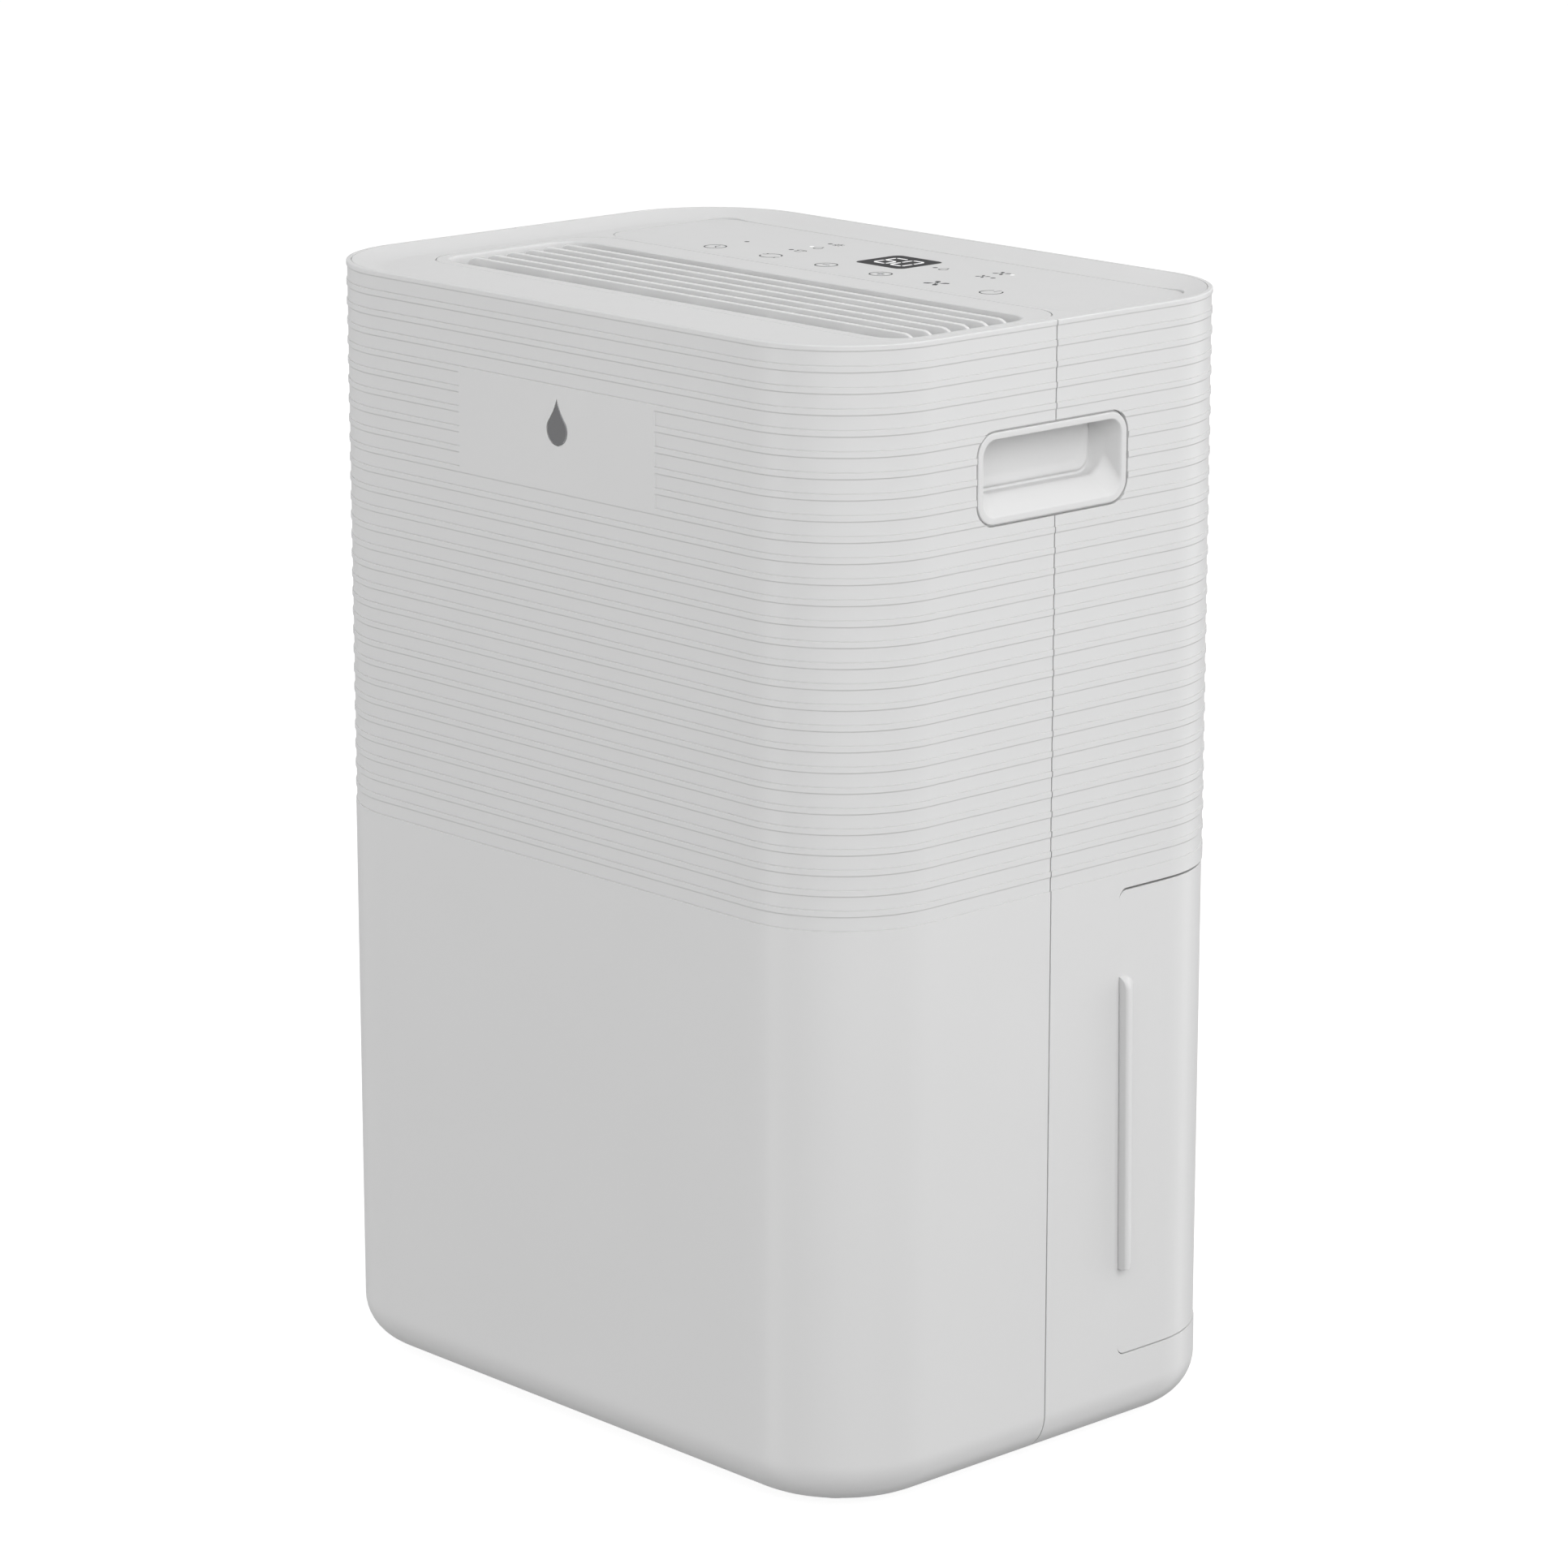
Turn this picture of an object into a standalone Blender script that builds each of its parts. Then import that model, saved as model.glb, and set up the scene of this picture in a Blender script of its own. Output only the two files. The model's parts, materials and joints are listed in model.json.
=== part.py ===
"""Upright household dehumidifier with a rear water tank, as an assembly of separate pieces.

Sizes below are in millimetres. build_mesh() turns them into metres. +Z is up, the front faces -Y,
and the origin is on the floor under the middle of the casing.
"""

import math

import bmesh
import bpy

MM = 0.001

# Casing
WIDTH = 347.0
DEPTH = 252.0
HEIGHT = 500.0
FOOT_HEIGHT = 2.0
CORNER = 53.5
FILLET = 20.0
WALL = 2.2
GAP = 0.3
SEAM_Y = -0.7
UNDERSIDE = FOOT_HEIGHT
TOP = UNDERSIDE + HEIGHT
CORNER_STEPS = 8
FILLET_STEPS = 4
FAR = 300.0

# Top
DECK_Z = TOP - 4.0
DECK_EDGE_Z = TOP - 0.3
DECK_INSET = WALL + 0.5
DECK_SKIRT = 12.0
GRILLE = (0.0, -22.5, 304.0, 105.0, 20.0)
GRILLE_MOUTH = (0.0, -27.5, 294.0, 81.0, 15.0)
GRILLE_DEPTH = 11.0
SLATS = 6
SLAT_PITCH = 10.9
SLAT_LAST_Y = 1.5
SLAT_THICK = 1.8
RIB_X = (-131.0, -84.0, -37.0, 10.0, 57.0, 104.0)
PANEL = (0.0, 70.5, 300.0, 75.0, 12.0)
DISPLAY = (1.5, 75.0, 30.0, 28.0, 4.0)

# Finger pockets in both sides: centre y, centre z, length, height, corner radius
POCKET = (-2.0, UNDERSIDE + 437.75, 90.0, 40.5, 10.5)
POCKET_DEPTH = 14.0
POCKET_FRAME = 4.4
POCKET_DRAFT = 2.6
SILL_DEPTH = 9.1
SILL_RISE = 6.6

# Tank panel, seen from the side
PANEL_LOW_Z = UNDERSIDE + 35.5
PANEL_HIGH_Z = UNDERSIDE + 248.3
PANEL_EDGE_TOP_Y = 41.3
PANEL_EDGE_LOW_Y = 44.3
PANEL_SUNK = 0.45
LIP_LOW_Z = UNDERSIDE + 76.0
LIP_HIGH_Z = UNDERSIDE + 209.0
LIP_PROUD = 5.2
LIP_BACK_Y = 57.0

# Tank and its bay
BAY_FRONT_Y = 38.0
BAY_WALL = 2.5
BAY_FLOOR_Z = 36.0
BAY_ROOF_Z = 247.0
TANK_FRONT_Y = 44.6
TANK_WALL = 2.2
TANK_LOW_Z = 38.3
TANK_HIGH_Z = 198.0
TANK_INSET = PANEL_SUNK + WALL + GAP
LID_Z = TANK_HIGH_Z + GAP
LID_THICK = 2.5
LID_MOUTH = (0.0, 82.0, 60.0, 40.0, 6.0)
HANDLE_PIVOT = (82.0, LID_Z + LID_THICK + 4.8)
HANDLE_HALF = 62.0
HANDLE_ARM = 32.0
EAR_OUT = 72.0
PIN_R = 2.5
FLOAT_PIVOT = (-115.0, 62.0, 190.0)

# Refrigeration
COMPRESSOR = (-76.0, -44.0)
COMPRESSOR_R = 54.0
COMPRESSOR_LOW_Z = 21.0
COMPRESSOR_HIGH_Z = 205.0
ACCUMULATOR = (2.0, -70.0)
DRIER_X = -134.0
DRIER_Z = 252.0
COIL_HALF = 122.0
COIL_LOW_Z = 266.0
COIL_HIGH_Z = 462.0
CONDENSER_Y = (50.0, 74.0)
EVAPORATOR_Y = (80.0, 104.0)
PIPE_R = 4.0
TUBE_FIRST = 14.0
TUBE_PITCH = 24.0

# Fan
FAN_Z = 352.0
FAN_R = 78.0
FAN_BLADES = 24
SCROLL_Y = (-48.0, 14.0)
SCROLL_START_R = 86.0
SCROLL_GROWTH = 45.0
SCROLL_START = 35.0
SCROLL_TOP = 100.0
SHAFT_R = 4.0

# Rear
FILTER = (0.0, 368.0, 224.0, 192.0, 10.0)
DRAIN = (100.0, 261.0)
GLAND = (-100.0, 261.0)
GLAND_Y = 112.0
GLAND_R = 7.6
SCREWS = ((-95.0, 478.0), (95.0, 478.0), (-60.0, 261.0), (60.0, 261.0))
FOOT_AT = (133.3, 87.3)
FOOT_TOP_Z = 4.4


def clear_scene():
    for obj in list(bpy.data.objects):
        bpy.data.objects.remove(obj, do_unlink=True)


# ---------------------------------------------------------------- outlines and shapes


def arc(cx, cy, radius, start, end, steps):
    """Points on a circle from one angle to another, in degrees."""
    angles = [math.radians(start + (end - start) * k / steps) for k in range(steps + 1)]
    return [(cx + radius * math.cos(a), cy + radius * math.sin(a)) for a in angles]


def rounded(rect, shrink=0.0, steps=4):
    """A rounded rectangle given as (centre, centre, length, height, radius)."""
    cx, cy, w, h, r = rect
    r = max(r - shrink, 0.5)
    u = w / 2 - shrink - r
    v = h / 2 - shrink - r
    corners = ((1, -1, -90), (1, 1, 0), (-1, 1, 90), (-1, -1, 180))
    points = []
    for su, sv, a in corners:
        points += arc(cx + su * u, cy + sv * v, r, a, a + 90, steps)
    return points


def casing_outline(inset, steps=CORNER_STEPS):
    return rounded((0, 0, WIDTH, DEPTH, CORNER), inset, steps)


def circle(cx, cy, radius, steps=16):
    return arc(cx, cy, radius, 0, 360 - 360 / steps, steps - 1)


def half_path(inset, side, end_y):
    """Half of the casing's outline, round the front (side -1) or the rear (side 1)."""
    u = WIDTH / 2 - CORNER
    v = side * (DEPTH / 2 - CORNER)
    r = CORNER - inset
    first = arc(u, v, r, 0, 90 * side, CORNER_STEPS)
    second = arc(-u, v, r, 90 * side, 180 * side, CORNER_STEPS)
    return [(WIDTH / 2 - inset, end_y), *first, *second, (-WIDTH / 2 + inset, end_y)]


def place(point, axis, t):
    """A flat point at height t along an axis: X takes (y, z), Y takes (x, z), Z takes (x, y)."""
    a, b = point
    return {"X": (t, a, b), "Y": (a, t, b), "Z": (a, b, t)}[axis]


def loft(rings, closed=False):
    """Joins rings of points with faces, and caps the ends unless the rings close on themselves."""
    n = len(rings[0])
    verts = [p for ring in rings for p in ring]
    faces = []
    for i in range(len(rings) if closed else len(rings) - 1):
        j = (i + 1) % len(rings)
        for k in range(n):
            m = (k + 1) % n
            faces.append((i * n + k, i * n + m, j * n + m, j * n + k))
    if not closed:
        faces.append(tuple(range(n)))
        faces.append(tuple(range((len(rings) - 1) * n, len(rings) * n)))
    return verts, faces


def prism(outline, axis, low, high):
    return loft([[place(p, axis, t) for p in outline] for t in (low, high)])


def block(x, y, z):
    return prism([(x[0], y[0]), (x[1], y[0]), (x[1], y[1]), (x[0], y[1])], "Z", *z)


def stack(levels, outline):
    """Rings of one outline at (inset, z) levels, from the underside round to the top."""
    return loft([[(x, y, z) for x, y in outline(inset)] for inset, z in levels])


def turned(profile, centre, axis, steps=16, bored=False):
    """A shape turned about a line along an axis, from (radius, position) points."""
    rings = [[place(p, axis, t) for p in circle(*centre, r, steps)] for r, t in profile]
    return loft(rings, closed=bored)


def combine(*shapes):
    """Several separate closed shapes as one mesh."""
    verts = []
    faces = []
    for shape_verts, shape_faces in shapes:
        start = len(verts)
        verts += shape_verts
        faces += [tuple(start + k for k in face) for face in shape_faces]
    return verts, faces


# ---------------------------------------------------------------- objects and materials

FINISHES = {
    "white_plastic": ((0.80, 0.80, 0.80), 0.42, 0.0),
    "grey_plastic": ((0.35, 0.36, 0.37), 0.5, 0.0),
    "clear_plastic": ((0.62, 0.70, 0.76), 0.15, 0.0),
    "display_glass": ((0.03, 0.03, 0.035), 0.12, 0.0),
    "chrome": ((0.80, 0.80, 0.82), 0.1, 1.0),
    "black_rubber": ((0.03, 0.03, 0.03), 0.8, 0.0),
    "grey_rubber": ((0.50, 0.50, 0.50), 0.75, 0.0),
    "black_paint": ((0.02, 0.02, 0.02), 0.35, 0.2),
    "copper": ((0.78, 0.42, 0.26), 0.3, 1.0),
    "aluminium_fins": ((0.75, 0.76, 0.78), 0.4, 1.0),
    "zinc_steel": ((0.62, 0.63, 0.65), 0.35, 1.0),
    "circuit_board": ((0.03, 0.20, 0.08), 0.5, 0.0),
    "filter_cloth": ((0.20, 0.21, 0.22), 0.9, 0.0),
    "foam": ((0.90, 0.90, 0.88), 0.9, 0.0),
}


def material(finish):
    colour, roughness, metallic = FINISHES[finish]
    made = bpy.data.materials.new(finish)
    made.use_nodes = True
    shader = made.node_tree.nodes["Principled BSDF"]
    shader.inputs["Base Color"].default_value = (*colour, 1.0)
    shader.inputs["Roughness"].default_value = roughness
    shader.inputs["Metallic"].default_value = metallic
    return made


def build_mesh(name, shape):
    verts, faces = shape
    mesh = bpy.data.meshes.new(name)
    mesh.from_pydata([tuple(c * MM for c in v) for v in verts], [], faces)
    edit = bmesh.new()
    edit.from_mesh(mesh)
    bmesh.ops.recalc_face_normals(edit, faces=edit.faces)
    edit.to_mesh(mesh)
    edit.free()
    return mesh


def add_object(name, data):
    obj = bpy.data.objects.new(name, data)
    bpy.context.scene.collection.objects.link(obj)
    return obj


def solid(name, shape, finish, smooth=False):
    """A named piece of the assembly."""
    obj = add_object(name, build_mesh(name, shape))
    obj.data.materials.append(material(finish))
    if smooth:
        obj.data.shade_smooth()
        obj.data.set_sharp_from_angle(angle=math.radians(35))
    return obj


def boolean(obj, operation, shape):
    tool = add_object(f"{obj.name}_{operation.lower()}", build_mesh("tool", shape))
    tool.hide_render = True
    tool.display_type = "WIRE"
    modifier = obj.modifiers.new(operation.title(), "BOOLEAN")
    modifier.operation = operation
    modifier.object = tool
    return obj


def cut(obj, *shapes):
    return boolean(obj, "DIFFERENCE", combine(*shapes))


def join(obj, *shapes):
    return boolean(obj, "UNION", combine(*shapes))


def keep(obj, shape):
    return boolean(obj, "INTERSECT", shape)


def tube(name, points, radius, finish, thick=None):
    """A round bar or pipe along points; thick gives a radius factor for each point."""
    curve = bpy.data.curves.new(name, "CURVE")
    curve.dimensions = "3D"
    curve.bevel_depth = radius * MM
    curve.bevel_resolution = 1
    curve.use_fill_caps = True
    spline = curve.splines.new("POLY")
    spline.points.add(len(points) - 1)
    for k, point in enumerate(points):
        spline.points[k].co = (*[c * MM for c in point], 1.0)
        spline.points[k].radius = thick[k] if thick else 1.0
    obj = add_object(name, curve)
    curve.materials.append(material(finish))
    return obj


def bent(corners, radius, steps=3):
    """Points along straight runs whose corners are rounded, for a pipe."""
    points = [corners[0]]
    for before, at, after in zip(corners, corners[1:], corners[2:]):
        start = step_towards(at, before, radius)
        end = step_towards(at, after, radius)
        for k in range(steps + 1):
            t = k / steps
            ways = zip(start, at, end)
            points.append(tuple((1 - t) ** 2 * a + 2 * t * (1 - t) * b + t * t * c for a, b, c in ways))
    return [*points, corners[-1]]


def step_towards(start, target, distance):
    length = math.dist(start, target)
    return tuple(a + (b - a) * distance / length for a, b in zip(start, target))


def on_axis(name, pivot, *children):
    """An empty on a joint's axis, with the pieces that move about it or along it."""
    axis = add_object(name, None)
    axis.location = [c * MM for c in pivot]
    for child in children:
        child.parent = axis
        child.location = [-c * MM for c in pivot]


# ---------------------------------------------------------------- casing


def cover_profile():
    """The casing wall's section as (inset, z), from its lower lip up the outside and back down."""
    outside = []
    inside = []
    for k in range(FILLET_STEPS + 1):
        a = math.radians(90 * k / FILLET_STEPS)
        centre_z = UNDERSIDE + FILLET
        outside.append((FILLET - FILLET * math.sin(a), centre_z - FILLET * math.cos(a)))
        r = FILLET - WALL
        inside.append((FILLET - r * math.sin(a), centre_z - r * math.cos(a)))
    return [*outside, (0.0, TOP), (WALL, TOP), *reversed(inside)]


def cover(name, side):
    end_y = SEAM_Y + side * GAP / 2
    profile = cover_profile()
    paths = [half_path(inset, side, end_y) for inset, _ in profile]
    rings = []
    for j in range(len(paths[0])):
        rings.append([(*path[j], z) for path, (_, z) in zip(paths, profile)])
    return solid(name, loft(rings), "white_plastic", smooth=True)


def tank_window(shrink):
    """The tank panel's outline seen from the side, as a prism right across the casing."""
    outline = [
        (PANEL_EDGE_LOW_Y + shrink, PANEL_LOW_Z + shrink),
        (FAR, PANEL_LOW_Z + shrink),
        (FAR, PANEL_HIGH_Z - shrink),
        (PANEL_EDGE_TOP_Y + shrink, PANEL_HIGH_Z - shrink),
    ]
    return prism(outline, "X", -FAR, FAR)


def make_covers():
    pocket_hole = prism(rounded(POCKET), "X", -FAR, FAR)
    front = cover("front_cover", -1)
    cut(front, pocket_hole)
    cut(front, prism(drop_outline(GAP), "Y", -DEPTH / 2 - 5, -DEPTH / 2 + 1.2))
    rear = cover("rear_cover", 1)
    cut(rear, pocket_hole, tank_window(0.0))
    bosses = [turned([(7, 117), (7, DEPTH / 2 - 1)], at, "Y", 10) for at in SCREWS]
    join(rear, *bosses)
    holes = [prism(rounded(FILTER), "Y", 90, FAR)]
    holes.append(turned([(8.0, 110), (8.0, FAR)], DRAIN, "Y", 16))
    holes.append(turned([(8.0, 110), (8.0, FAR)], GLAND, "Y", 16))
    holes += [turned([(2.4, 100), (2.4, 121), (4.5, 121), (4.5, FAR)], at, "Y", 10) for at in SCREWS]
    cut(rear, *holes)


def drop_outline(grow=0.0):
    """A water drop: a round bowl that narrows to a point above it."""
    cx, cz, r, tip = 1.5, UNDERSIDE + 446.0, 6.5, 13.0
    sweep = 60
    bowl = arc(cx, cz, r + grow, 90 + sweep, 450 - sweep, 10)
    return [*bowl, (cx, cz + tip + 2 * grow)]


def make_badge():
    low = -DEPTH / 2
    solid("front_badge", prism(drop_outline(), "Y", low + 0.05, low + 0.95), "chrome")


def pocket_outline(shrink, rise):
    """The pocket's section, drawn in evenly, with a foot that rises further."""
    cy, cz, length, height, r = POCKET
    return rounded((cy, cz + rise / 2, length, height - rise, r), shrink)


def make_pocket(name, side):
    """A cup with drafted walls, whose foot ramps up to a sill."""
    outside = WIDTH / 2
    fit = GAP + 0.1
    levels = [
        (fit, 0.0, outside - POCKET_DEPTH - 2 * WALL),
        (fit, 0.0, outside),
        (POCKET_FRAME, 0.0, outside),
        (POCKET_FRAME + POCKET_DRAFT / 2, SILL_RISE, outside - SILL_DEPTH),
        (POCKET_FRAME + POCKET_DRAFT, SILL_RISE, outside - POCKET_DEPTH),
    ]
    rings = [[(side * x, y, z) for y, z in pocket_outline(shrink, rise)] for shrink, rise, x in levels]
    solid(name, loft(rings), "white_plastic")


# ---------------------------------------------------------------- top


def make_top_deck():
    levels = [
        (DECK_INSET + WALL, DECK_Z - WALL),
        (DECK_INSET + WALL, DECK_Z - DECK_SKIRT),
        (DECK_INSET, DECK_Z - DECK_SKIRT),
        (DECK_INSET, DECK_EDGE_Z),
        (DECK_INSET + 5, DECK_Z + 1.2),
        (DECK_INSET + 11, DECK_Z),
    ]
    deck = solid("top_deck", stack(levels, casing_outline), "white_plastic", smooth=True)
    openings = [prism(rounded(rect), "Z", 400, 600) for rect in (GRILLE, PANEL)]
    cut(deck, *openings)


def make_outlet_grille():
    plate_low = DECK_Z - 3.5
    low = DECK_Z - GRILLE_DEPTH
    plate = prism(rounded(GRILLE, GAP), "Z", plate_low, DECK_Z)
    grille = solid("outlet_grille", plate, "white_plastic")
    join(grille, prism(rounded(GRILLE_MOUTH, -2.0), "Z", low, DECK_Z - 1))
    cut(grille, prism(rounded(GRILLE_MOUTH), "Z", 400, 600))
    end = GRILLE_MOUTH[2] / 2 + 1
    flat = 136.0
    half = [(end, low + 1), (end, DECK_Z - 5), (flat, DECK_Z)]
    side = [*half, *[(-x, z) for x, z in reversed(half)]]
    slats = []
    for k in range(SLATS):
        y = SLAT_LAST_Y - SLAT_PITCH * k
        slats.append(prism(side, "Y", y - SLAT_THICK / 2, y + SLAT_THICK / 2))
    join(grille, *slats)
    depth = (GRILLE_MOUTH[1] - GRILLE_MOUTH[3] / 2 - 1, GRILLE_MOUTH[1] + GRILLE_MOUTH[3] / 2 + 1)
    join(grille, *[block((x - 0.9, x + 0.9), depth, (low + 2, DECK_Z - 4)) for x in RIB_X])


def make_control_panel():
    panel = solid("control_panel", prism(rounded(PANEL, GAP), "Z", DECK_Z - 2.7, DECK_Z), "white_plastic")
    cut(panel, prism(rounded(DISPLAY, -GAP), "Z", DECK_Z - 1.4, DECK_Z + 5))
    solid("display_window", prism(rounded(DISPLAY), "Z", DECK_Z - 1.1, DECK_Z), "display_glass")
    board_z = DECK_Z - 9
    board = solid("control_board", block((-110, 110), (40, 100), (board_z, board_z + 1.6)), "circuit_board")
    join(board, block((-15, 18), (61, 89), (board_z + 1, DECK_Z - 3)))


# ---------------------------------------------------------------- base


def make_base():
    inset = 17.5
    floor = 4.7
    levels = [
        (inset, floor),
        (inset, 18.0),
        (inset + WALL, 18.0),
        (inset + WALL, floor + 2.6),
    ]
    solid("base_pan", stack(levels, lambda i: casing_outline(i, 5)), "grey_plastic")
    for x_name, sx in (("left", -1), ("right", 1)):
        for y_name, sy in (("front", -1), ("rear", 1)):
            centre = (sx * FOOT_AT[0], sy * FOOT_AT[1])
            profile = [(13.4, 0.0), (14.0, 0.6), (12.0, FOOT_TOP_Z)]
            solid(f"foot_{y_name}_{x_name}", turned(profile, centre, "Z"), "grey_rubber", smooth=True)
    outer = DEPTH / 2 - 0.1
    profile = [(GLAND_R, GLAND_Y), (GLAND_R, outer), (4.0, outer), (4.0, GLAND_Y)]
    solid("cord_gland", turned(profile, GLAND, "Y", 16, bored=True), "black_rubber", smooth=True)


# ---------------------------------------------------------------- tank


def make_tank_bay():
    outline = casing_outline(WALL + 1.0)
    low = BAY_FLOOR_Z - BAY_WALL
    high = BAY_ROOF_Z + BAY_WALL
    bay = solid("tank_bay", prism(outline, "Z", low, high), "white_plastic")
    cut(bay, block((-FAR, FAR), (-FAR, BAY_FRONT_Y), (0, FAR)))
    cut(bay, block((-FAR, FAR), (BAY_FRONT_Y + BAY_WALL, FAR), (BAY_FLOOR_Z, BAY_ROOF_Z)))
    cut(bay, turned([(7.5, 200), (7.5, 300)], (0, LID_MOUTH[1]), "Z", 12))


def rear_slab(inset, front_y, low, high):
    """The part of the casing's plan behind a line, as a prism."""
    return prism(half_path(inset, 1, front_y), "Z", low, high)


def make_tank():
    tank = solid("tank", rear_slab(TANK_INSET, TANK_FRONT_Y, TANK_LOW_Z, TANK_HIGH_Z), "clear_plastic")
    hollow = rear_slab(TANK_INSET + TANK_WALL, TANK_FRONT_Y + TANK_WALL, TANK_LOW_Z + TANK_WALL, FAR)
    cut(tank, hollow)

    panel = make_tank_panel()

    low = LID_Z
    high = LID_Z + LID_THICK
    lid = solid("tank_lid", rear_slab(TANK_INSET + GAP, TANK_FRONT_Y + GAP, low, high), "white_plastic")
    pivot_y, pivot_z = HANDLE_PIVOT
    ear_x = EAR_OUT - 3
    for x in (-ear_x, ear_x):
        join(lid, block((x - 3, x + 3), (pivot_y - 6, pivot_y + 6), (low + 1, pivot_z + 5)))
    fy, fz = FLOAT_PIVOT[1:]
    forks = [block((x - 1.5, x + 1.5), (fy - 4, fy + 4), (fz - 4, low + 1)) for x in fork_x()]
    join(lid, *forks)
    pins = turned([(PIN_R + GAP, -80), (PIN_R + GAP, 80)], HANDLE_PIVOT, "X", 12)
    float_pins = turned([(1.5 + GAP, -140), (1.5 + GAP, -90)], (fy, fz), "X", 10)
    cut(lid, prism(rounded(LID_MOUTH), "Z", low - 5, high + 5), pins, float_pins)

    handle = make_tank_handle()
    floater = make_float()
    on_axis("tank_slide_axis", (0, TANK_FRONT_Y, TANK_LOW_Z), tank, panel, lid)
    on_axis("tank_handle_axis", (0, pivot_y, pivot_z), handle)
    on_axis("float_axis", FLOAT_PIVOT, floater)


def fork_x():
    return (FLOAT_PIVOT[0] - 12, FLOAT_PIVOT[0] + 12)


def make_tank_panel():
    """The U-shaped outer panel: the casing's wall inside the tank window, with a pull lip at each side."""
    levels = [(PANEL_SUNK, 20.0), (PANEL_SUNK, 270.0), (PANEL_SUNK + WALL, 270.0), (PANEL_SUNK + WALL, 20.0)]
    paths = [half_path(inset, 1, PANEL_EDGE_TOP_Y - 10) for inset, _ in levels]
    rings = []
    for j in range(len(paths[0])):
        rings.append([(*path[j], z) for path, (_, z) in zip(paths, levels)])
    panel = solid("tank_panel", loft(rings), "white_plastic", smooth=True)
    surface = WIDTH / 2 - PANEL_SUNK
    middle_y = (PANEL_EDGE_LOW_Y + LIP_BACK_Y) / 2
    before_edge = PANEL_EDGE_TOP_Y - 8
    lips = []
    for side in (-1, 1):
        section = [
            (side * (surface - 1), before_edge),
            (side * (surface + LIP_PROUD), before_edge),
            (side * (surface + LIP_PROUD), PANEL_EDGE_LOW_Y + 1),
            (side * (surface + LIP_PROUD / 2), middle_y),
            (side * (surface - 1), LIP_BACK_Y),
        ]
        lips.append(prism(section, "Z", LIP_LOW_Z, LIP_HIGH_Z))
    join(panel, *lips)
    return keep(panel, tank_window(GAP))


def make_tank_handle():
    y, z = HANDLE_PIVOT
    front = y - HANDLE_ARM
    ends = EAR_OUT - 1
    corners = [(ends, y, z), (HANDLE_HALF, y, z), (HANDLE_HALF, front, z)]
    corners += [(-HANDLE_HALF, front, z), (-HANDLE_HALF, y, z), (-ends, y, z)]
    points = bent(corners, 3.5)
    thick = [1.5 if abs(p[0]) < HANDLE_HALF - 8 or p[1] < front + 1 else 1.0 for p in points]
    return tube("tank_handle", points, PIN_R, "grey_plastic", thick)


def make_float():
    x, y, z = FLOAT_PIVOT
    body = block((x - 14, x + 14), (y + 16, y + 44), (z - 22, z - 6))
    floater = solid("float", body, "foam")
    arm = [(-3, -3), (3, -3), (22, -9), (22, -5), (3, 3), (-3, 3)]
    join(floater, prism([(y + u, z + v) for u, v in arm], "X", x - 9.5, x + 9.5))
    return join(floater, turned([(1.5, x - 13), (1.5, x + 13)], (y, z), "X", 8))


# ---------------------------------------------------------------- refrigeration


def make_compressor():
    cx, cy = COMPRESSOR
    low, high, r = COMPRESSOR_LOW_Z, COMPRESSOR_HIGH_Z, COMPRESSOR_R
    profile = [
        (r * 0.45, low),
        (r * 0.85, low + 8),
        (r, low + 24),
        (r, low + 78),
        (r + 3, low + 80),
        (r + 3, low + 88),
        (r, low + 90),
        (r, high - 26),
        (r * 0.88, high - 10),
        (r * 0.5, high),
    ]
    body = solid("compressor", turned(profile, (cx, cy), "Z", 20), "black_paint", smooth=True)
    join(body, prism(circle(cx, cy, 64, 3), "Z", low + 1, low + 4))
    hollow = [(18, low - 5), (18, low + 14), (34, low + 26), (34, high - 26), (18, high - 14)]
    cut(body, turned(hollow, (cx, cy), "Z", 16))
    for k, (x, y) in enumerate(circle(cx, cy, 55, 3)):
        grommet = [(7, 7.6), (7, 11), (5, 13), (7, 15), (7, low + 0.7)]
        solid(f"compressor_grommet_{k + 1}", turned(grommet, (x, y), "Z", 10), "black_rubber", smooth=True)
    accumulator = [(3, 96), (13, 104), (13, 170), (3, 178)]
    solid("accumulator", turned(accumulator, ACCUMULATOR, "Z", 12), "black_paint", smooth=True)


def make_coil(name, y, pipe_end):
    """A block of upright fins with its tubes' return bends; pipe_end is the side its pipes join."""
    low, high = y
    fins = 14
    notch = 9.0
    pitch = 2 * COIL_HALF / fins
    near = []
    for k in range(fins):
        x = -COIL_HALF + pitch * k
        near += [(x, low), (x + pitch * 0.4, low)]
        if k < fins - 1:
            near += [(x + pitch * 0.4, low + notch), (x + pitch, low + notch)]
    near[-1] = (COIL_HALF, low)
    far = [(x, low + high - depth) for x, depth in reversed(near)]
    coil = solid(name, prism([*near, *far], "Z", COIL_LOW_Z, COIL_HIGH_Z), "aluminium_fins")
    middle = (low + high) / 2
    bends = []
    first = COIL_LOW_Z + TUBE_FIRST
    for side, start, count in ((pipe_end, first + TUBE_PITCH, 3), (-pipe_end, first, 4)):
        for k in range(count):
            bends.append(return_bend(side, middle, start + 2 * TUBE_PITCH * k, TUBE_PITCH))
    return join(coil, *bends)


def return_bend(side, y, z, spacing, steps=5, sides=6):
    """Half a turn of tube standing out of a coil's end."""
    start = side * (COIL_HALF - 2)
    rings = []
    for k in range(steps + 1):
        a = math.radians(-90 + 180 * k / steps)
        out, up = math.cos(a), math.sin(a)
        ring = []
        for u, v in circle(0, 0, PIPE_R, sides):
            reach = spacing / 2 + u
            ring.append((start + side * out * reach, y + v, z + spacing / 2 + up * reach))
        rings.append(ring)
    return loft(rings)


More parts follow.
